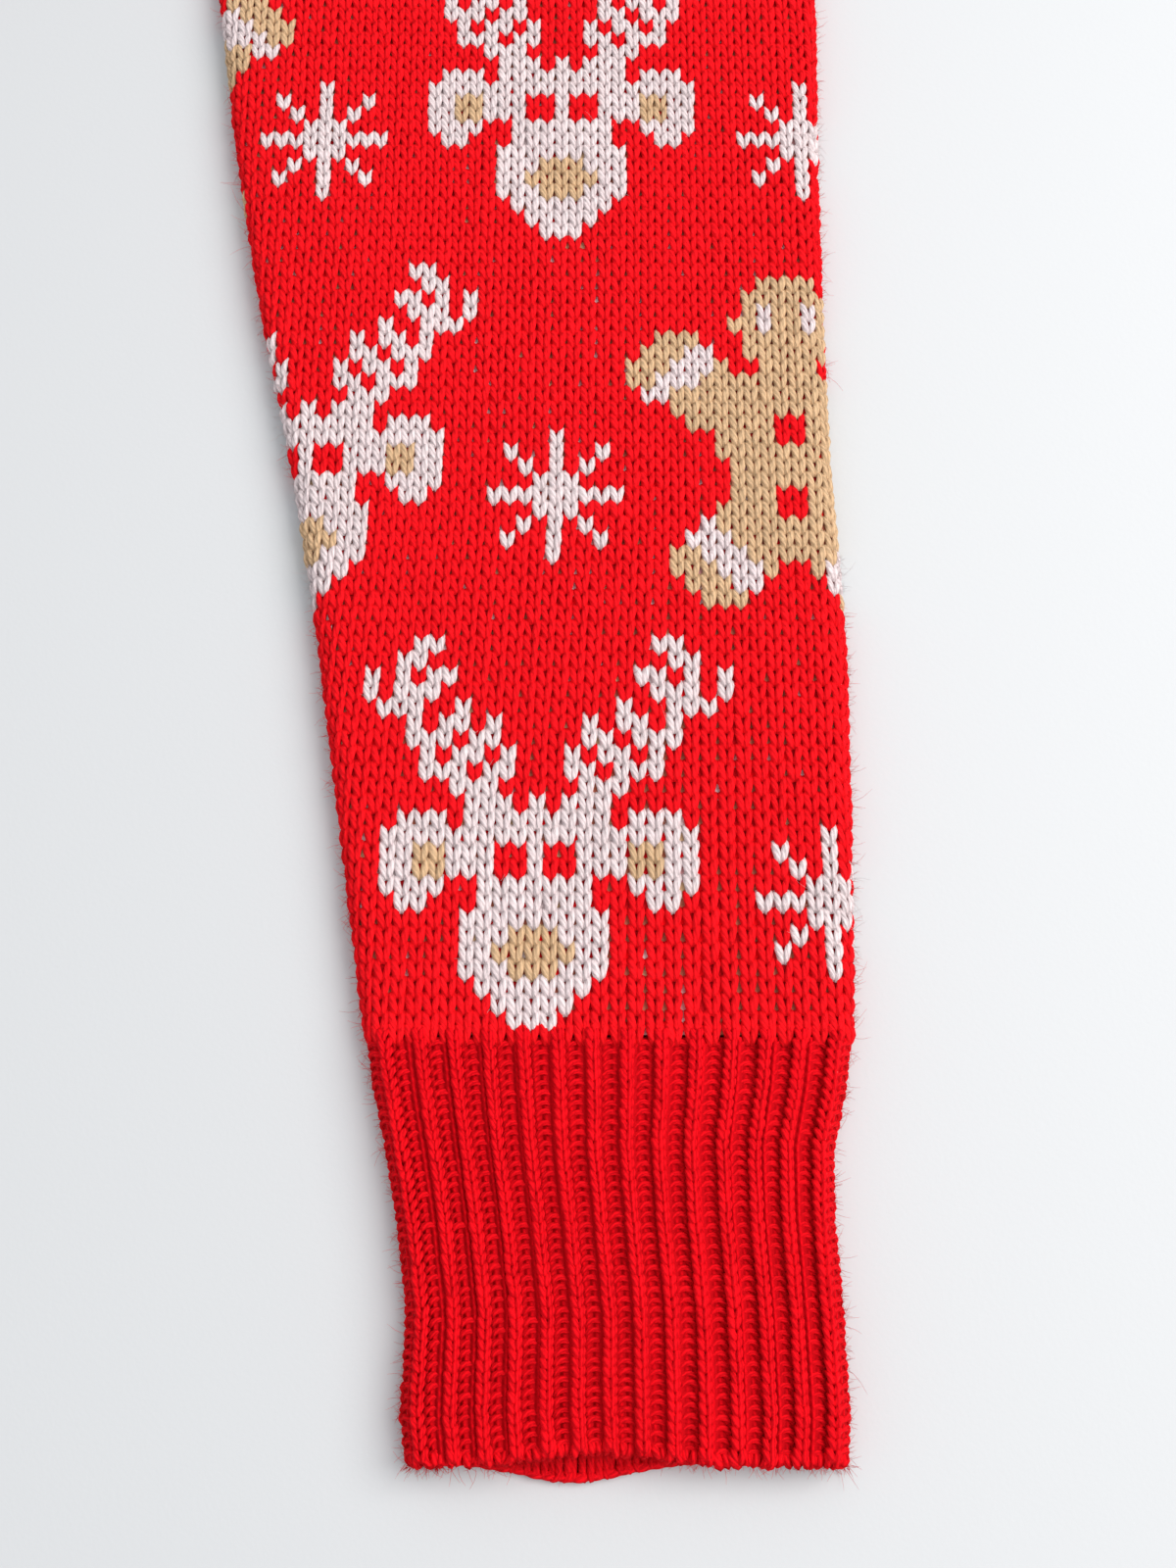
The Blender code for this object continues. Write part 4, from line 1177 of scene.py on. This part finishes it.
def hem_front(name, side):
    """A front's hem: ribs run up it, from the free edge to the seam with the front."""
    inner = BAND_WIDTH / 2
    count = round((237.0 - inner) / sizes()["rib_pitch"])
    phase = rib_phases(count)
    y = np.linspace(-BODY_LENGTH, CLOTH_LOW - SEAM_GAP, 12)[:, None]
    x = inner + (outer_line(y) - inner) * phase / count
    y = np.broadcast_to(y, x.shape)
    base = front_base(side, x * side, y, x - inner)
    return slab_object(name, np.dstack((x, y)), base, base + rib_top(phase),
                       rib_uv(phase, y + BODY_LENGTH), side < 0)


def hem_back():
    """The back's hem: its ribs lie on the surface, so they show on its underside."""
    count = round(474.0 / sizes()["rib_pitch"])
    phase = rib_phases(count)
    y = np.linspace(-BODY_LENGTH, CLOTH_LOW - SEAM_GAP, 8)[:, None]
    edge = outer_line(y)
    x = -edge + 2 * edge * phase / count
    y = np.broadcast_to(y, x.shape)
    wave = rib_wave(phase)
    return slab_object("hem_back_rib", np.dstack((x, y)), 0.55 - 0.5 * wave, CLOTH - 0.5 * wave,
                       rib_uv(phase, y + BODY_LENGTH))


def front_edge_points():
    """The band's seam from the hem's edge to the neck point, in steps of some four millimetres."""
    low = np.arange(-BODY_LENGTH, V_START - 2.0, 4.0)
    straight = np.column_stack((np.full(len(low), BAND_WIDTH / 2), low))
    return np.concatenate((straight, V_LINE))


def front_band(name, side):
    """A front band: five ribs run along it, up the centre and along the V."""
    seam = front_edge_points()
    ahead = np.gradient(seam, axis=0)
    ahead /= np.linalg.norm(ahead, axis=1)[:, None]
    away = np.column_stack((-ahead[:, 1], ahead[:, 0]))
    phase = rib_phases(BAND_RIBS)[:, ::-1]
    inner, outer = seam + away * SEAM_GAP, seam + away * BAND_WIDTH
    plan = inner[:, None, :] + (outer - inner)[:, None, :] * (phase / BAND_RIBS)[:, :, None]
    base = np.full((len(seam), 1), FRONT_BASE)
    if side < 0:
        base = base + OVERLAP_RISE * overlap(seam[:, 1:])
    run = path_run(seam)
    thing = slab_object(name, plan, base, base + rib_top(phase), rib_uv(phase, run[:, None]),
                        side < 0)
    return thing, float(run[-1])


def neck_band():
    """The band round the back of the neck, between the ends of the front bands."""
    angles = np.linspace(0.0, math.pi, 48)
    around = np.column_stack((np.cos(angles), np.sin(angles)))
    seam = around * (NECK_POINT[0], -NECK_SCOOP) + (0.0, NECK_POINT[1])
    ahead = V_LINE[-1] - V_LINE[-2]
    ahead = ahead / np.linalg.norm(ahead)
    end_x = NECK_POINT[0] - ahead[1] * BAND_WIDTH
    end_y = NECK_POINT[1] + ahead[0] * BAND_WIDTH
    free = around * (end_x, NECKBAND_TOP - end_y) + (0.0, end_y)
    across = free - seam
    seam = seam + SEAM_GAP * across / np.linalg.norm(across, axis=1)[:, None]
    phase = rib_phases(BAND_RIBS)
    plan = seam[:, None, :] + (free - seam)[:, None, :] * (phase / BAND_RIBS)[:, :, None]
    top = NECKBAND_WALL - 0.2 + (NECKBAND_RIB + 0.2) * rib_wave(phase)
    uv = rib_uv(phase, path_run(free)[:, None])
    return slab_object("band_neck_rib", plan[::-1], 0.02, top, uv[::-1])


def cuff_cloth(side, depth):
    """A cuff's wall, all round: ribs on both layers, and the lower one reaches past the upper."""
    along = np.linspace(0.0, CUFF_TOP - SEAM_GAP, 42)[:, None]
    low, high = sleeve_columns(along, math.pi / 2)
    share = rib_phases(CUFF_RIBS) / CUFF_RIBS
    around = low + (high - low) * share
    parts = []
    for layer in (1, -1):
        rows = np.broadcast_to(along, around.shape)
        if layer < 0:
            rows = rows - mouth_reach(share) * (1.0 - smoothstep(rows / 25.0))
            proud = -0.5
        else:
            rows = drawn_back(rows, around)
            proud = depth + CUFF_RIB_HEIGHT * rib_wave(share * CUFF_RIBS) * 0.9
            proud = proud * np.clip(np.minimum(share, 1.0 - share) * 40.0, 0.0, 1.0)
        points, _ = sleeve_surface(side, np.maximum(rows, 0.0), around, proud, layer)
        points[..., :2] += np.minimum(rows, 0.0)[..., None] * SLEEVE_UP * (side, 1.0)
        points[..., 2] = np.maximum(points[..., 2], 0.02)
        faces = grid_faces(*around.shape)
        corners = grid_corners(rib_uv(share * CUFF_RIBS, rows))
        if side * layer < 0:
            faces, corners = faces[:, ::-1], corners[:, ::-1]
        parts.append((points.reshape(-1, 3), [(faces, corners, None, 0)]))
    node = "cuff_left" if side > 0 else "cuff_right"
    thing = make_object(node + "_cloth", parts, ["acrylic_rib_knit_red"])
    return declare(thing, (node,))


# --- Buttons ---

def button_parts(centre_y):
    """One button: four quarters, each a fan of rings between its thread hole and its own part of
    the rim; the height across it is a rim bead round a shallow dish."""
    sides, rings, rim_points = 32, 9, 97
    hole, radius = BUTTON_HOLE_DIAMETER / 2, BUTTON_DIAMETER / 2
    reach = BUTTON_HOLE_SPACING / 2
    turns = np.linspace(0.0, math.tau, sides + 1)[:-1]
    ways = np.column_stack((np.cos(turns), np.sin(turns)))
    to_side = np.where(ways < -1e-9, -reach / np.minimum(ways, -1e-9), np.inf).min(axis=1)
    middle = ways.sum(axis=1) * reach
    to_rim = -middle + np.sqrt(middle ** 2 - 2 * reach ** 2 + radius ** 2)
    far = np.minimum(to_side, to_rim)
    distance = hole + (far[None, :] - hole) * np.linspace(0.0, 1.0, rings)[:, None]
    x, y = reach + distance * ways[None, :, 0], reach + distance * ways[None, :, 1]
    out = np.hypot(x, y) / radius
    top = BUTTON_THICKNESS * (0.74 + 0.26 * np.exp(-((out - 0.84) / 0.10) ** 2)
                              - 0.42 * smoothstep((out - 0.90) / 0.10) ** 2)
    low = BUTTON_THICKNESS * (0.30 * smoothstep((out - 0.80) / 0.20) ** 2)
    grids = []
    for quarter in range(4):
        c, s = math.cos(quarter * math.pi / 2), math.sin(quarter * math.pi / 2)
        plan = (c * x - s * y, s * x + c * y + centre_y)
        around = np.concatenate((np.dstack((*plan, BUTTON_SEAT + low))[::-1],
                                 np.dstack((*plan, BUTTON_SEAT + top))))
        grids.append(np.concatenate((around, around[:, :1]), axis=1))
    # the outer wall, between the rims of the upper and lower faces
    turns = np.linspace(0.0, math.tau, rim_points)
    edge_low, edge_high = 0.30, 0.74 + 0.26 * math.exp(-(0.16 / 0.10) ** 2) - 0.42
    grids.append(np.stack([
        np.column_stack((swell * radius * np.cos(turns), swell * radius * np.sin(turns) + centre_y,
                         np.full(rim_points, BUTTON_SEAT + BUTTON_THICKNESS * height)))
        for swell, height in ((1.0, edge_low), (1.012, (edge_low + edge_high) / 2),
                              (1.0, edge_high))]))
    points = np.concatenate([grid.reshape(-1, 3) for grid in grids])
    starts = np.cumsum([0] + [grid.shape[0] * grid.shape[1] for grid in grids])
    faces = np.concatenate([grid_faces(*grid.shape[:2], start)
                            for grid, start in zip(grids, starts)])
    return welded(points, faces, np.zeros((len(faces), 4, 2)), np.ones((len(faces), 3)))


def thread_parts(centre_y):
    """Two crossed stitches of thread through the holes: each is level and dips at both ends."""
    t = np.linspace(-1.0, 1.0, 9)
    reach = BUTTON_HOLE_SPACING / 2
    dip = 20.8 * np.clip(np.abs(t) - 0.86, 0.0, 1.0)
    paths = [np.column_stack((t * reach + shift * hand, hand * t * reach - shift + centre_y,
                              BUTTON_SEAT + BUTTON_THICKNESS * 0.74 + lifted - dip))
             for hand, lifted in ((-1.0, 0.55), (1.0, 0.80)) for shift in (-0.3, 0.3)]
    return level_yarn(np.array(paths), 0.33, sides=6, flatness=1.0)


def buttons():
    """Every button's blank, and their thread in one piece."""
    made, threads = [], []
    for number in range(BUTTON_COUNT):
        centre, name = FIRST_BUTTON - number * BUTTON_SPACING, f"button_{number + 1}"
        blank = make_object(f"{name}_blank", [button_parts(centre)], ["polyester_button_red"])
        made.append(declare(blank, (name,)))
        threads.append(thread_parts(centre))
    sewn = make_object("button_threads", threads, ["acrylic_yarn_rib_red"], "yarn")
    return [*made, declare(sewn, ())]


# --- Stage ---

# Lengths of the stage are in metres.
FLOOR_REACH = 30.0
FLOOR_HEIGHT = -0.0002
CAMERA_PLACE = (0.5816, -0.1586, 0.3690)
CAMERA_TILT = math.radians(16.46)
LIGHTS = (
    # name, place, target, size, power, colour
    ("window", (0.98, 0.45, 0.80), (0.54, -0.06, 0.0), 0.9, 11.2, (1.0, 0.985, 0.965)),
    ("ceiling", (0.2, 0.5, 2.2), (0.4, -0.1, 0.0), 2.2, 6.0, (1.0, 1.0, 1.0)),
)


def make_camera():
    """The photo's view: it looks down on the cuff, tilted a little towards the shoulder."""
    right = np.array((math.cos(SLEEVE_ANGLE), math.sin(SLEEVE_ANGLE), 0.0))
    back = np.array((math.sin(CAMERA_TILT) * math.sin(SLEEVE_ANGLE),
                     -math.sin(CAMERA_TILT) * math.cos(SLEEVE_ANGLE), math.cos(CAMERA_TILT)))
    data = bpy.data.cameras.new("camera")
    data.lens, data.sensor_width, data.sensor_fit = 40.0, 36.0, "AUTO"
    camera = bpy.data.objects.new("camera", data)
    axes = np.column_stack((right, np.cross(back, right), back, CAMERA_PLACE))
    camera.matrix_world = Matrix((*axes.tolist(), (0.0, 0.0, 0.0, 1.0)))
    bpy.context.scene.collection.objects.link(camera)
    bpy.context.scene.camera = camera


def add_light(name, place, target, size, power, colour):
    """A round area light that the camera doesn't see, aimed at its target."""
    data = bpy.data.lights.new(name, "AREA")
    data.shape, data.size, data.energy, data.color = "DISK", size, power, colour
    light = bpy.data.objects.new(name, data)
    light.location = place
    light.visible_camera = False
    light.rotation_euler = (Vector(target) - Vector(place)).to_track_quat("-Z", "Y").to_euler()
    bpy.context.scene.collection.objects.link(light)


def make_stage():
    """The surface, a pale sky, the lights and the camera."""
    mesh = bpy.data.meshes.new("floor")
    corners = [(x * FLOOR_REACH, y * FLOOR_REACH, FLOOR_HEIGHT)
               for x, y in ((-1, -1), (1, -1), (1, 1), (-1, 1))]
    mesh.from_pydata(corners, [], [(0, 1, 2, 3)])
    mesh.materials.append(finish_of("painted_board_white"))
    floor = bpy.data.objects.new("floor", mesh)
    scene = bpy.context.scene
    scene.collection.objects.link(floor)
    scene.world = bpy.data.worlds.new("studio")
    scene.world.use_nodes = True
    sky = scene.world.node_tree.nodes["Background"]
    sky.inputs["Color"].default_value = (0.93, 0.96, 1.0, 1.0)
    sky.inputs["Strength"].default_value = 0.70
    for light in LIGHTS:
        add_light(*light)
    scene.view_settings.view_transform = "Standard"
    make_camera()


# --- Operators ---

class CARDIGAN_OT_left_sleeve(bpy.types.Operator):
    """Knit the left sleeve and its cuff stitch by stitch"""
    bl_idname = "cardigan.left_sleeve"
    bl_label = "Left sleeve"

    def execute(self, context):
        cloth = left_sleeve_cloth()
        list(sleeve_yarn())
        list(stray_fibres())
        cuff = cuff_cloth(1, -0.6)
        cuff_yarn()
        return {"FINISHED"}


class CARDIGAN_OT_right_sleeve(bpy.types.Operator):
    """Make the right sleeve and its cuff as knitted cloth"""
    bl_idname = "cardigan.right_sleeve"
    bl_label = "Right sleeve"

    def execute(self, context):
        right_sleeve_cloth()
        cuff_cloth(-1, 0.0)
        return {"FINISHED"}


class CARDIGAN_OT_body(bpy.types.Operator):
    """Make the back and the fronts as knitted cloth"""
    bl_idname = "cardigan.body"
    bl_label = "Body"

    def execute(self, context):
        back = back_cloth()
        for side, word in ((1, "left"), (-1, "right")):
            cloth = front_cloth(f"front_{word}_cloth", side)
        return {"FINISHED"}


class CARDIGAN_OT_ribs(bpy.types.Operator):
    """Make the hems, the front bands and the neck band"""
    bl_idname = "cardigan.ribs"
    bl_label = "Ribs"

    def execute(self, context):
        hem_back()
        for side, word in ((1, "left"), (-1, "right")):
            hem_front(f"hem_front_{word}_rib", side)
            band, length = front_band(f"band_{word}_rib", side)
        neck_band()
        return {"FINISHED"}


class CARDIGAN_OT_buttons(bpy.types.Operator):
    """Make the buttons and their thread"""
    bl_idname = "cardigan.buttons"
    bl_label = "Buttons"

    def execute(self, context):
        buttons()
        return {"FINISHED"}


class CARDIGAN_OT_stage(bpy.types.Operator):
    """Make the floor, the lights and the camera"""
    bl_idname = "cardigan.stage"
    bl_label = "Stage"

    def execute(self, context):
        make_stage()
        return {"FINISHED"}


class CARDIGAN_PT_panel(bpy.types.Panel):
    """Sizes, colours and pieces of the cardigan"""
    bl_idname = "CARDIGAN_PT_panel"
    bl_label = "Cardigan"
    bl_space_type = "VIEW_3D"
    bl_region_type = "UI"
    bl_category = "Cardigan"

    def draw(self, context):
        for group in (context.scene.cardigan_sizes, context.scene.cardigan_colours):
            for name in group.__annotations__:
                self.layout.prop(group, name)
        for operator in OPERATORS:
            self.layout.operator(operator.bl_idname)


OPERATORS = (CARDIGAN_OT_stage, CARDIGAN_OT_left_sleeve, CARDIGAN_OT_right_sleeve, CARDIGAN_OT_body,
             CARDIGAN_OT_ribs, CARDIGAN_OT_buttons)
CLASSES = (KnitSizes, KnitColours, *OPERATORS, CARDIGAN_PT_panel)


def register():
    """Add the settings, the operators and the panel."""
    for known in CLASSES:
        bpy.utils.register_class(known)
    bpy.types.Scene.cardigan_sizes = bpy.props.PointerProperty(type=KnitSizes)
    bpy.types.Scene.cardigan_colours = bpy.props.PointerProperty(type=KnitColours)


def unregister():
    """Take them away again."""
    del bpy.types.Scene.cardigan_colours
    del bpy.types.Scene.cardigan_sizes
    for known in reversed(CLASSES):
        bpy.utils.unregister_class(known)


def main():
    """Make everything."""
    register()
    for step in ("stage", "left_sleeve", "right_sleeve", "body", "ribs", "buttons"):
        getattr(bpy.ops.cardigan, step)()


if __name__ == "__main__":
    main()
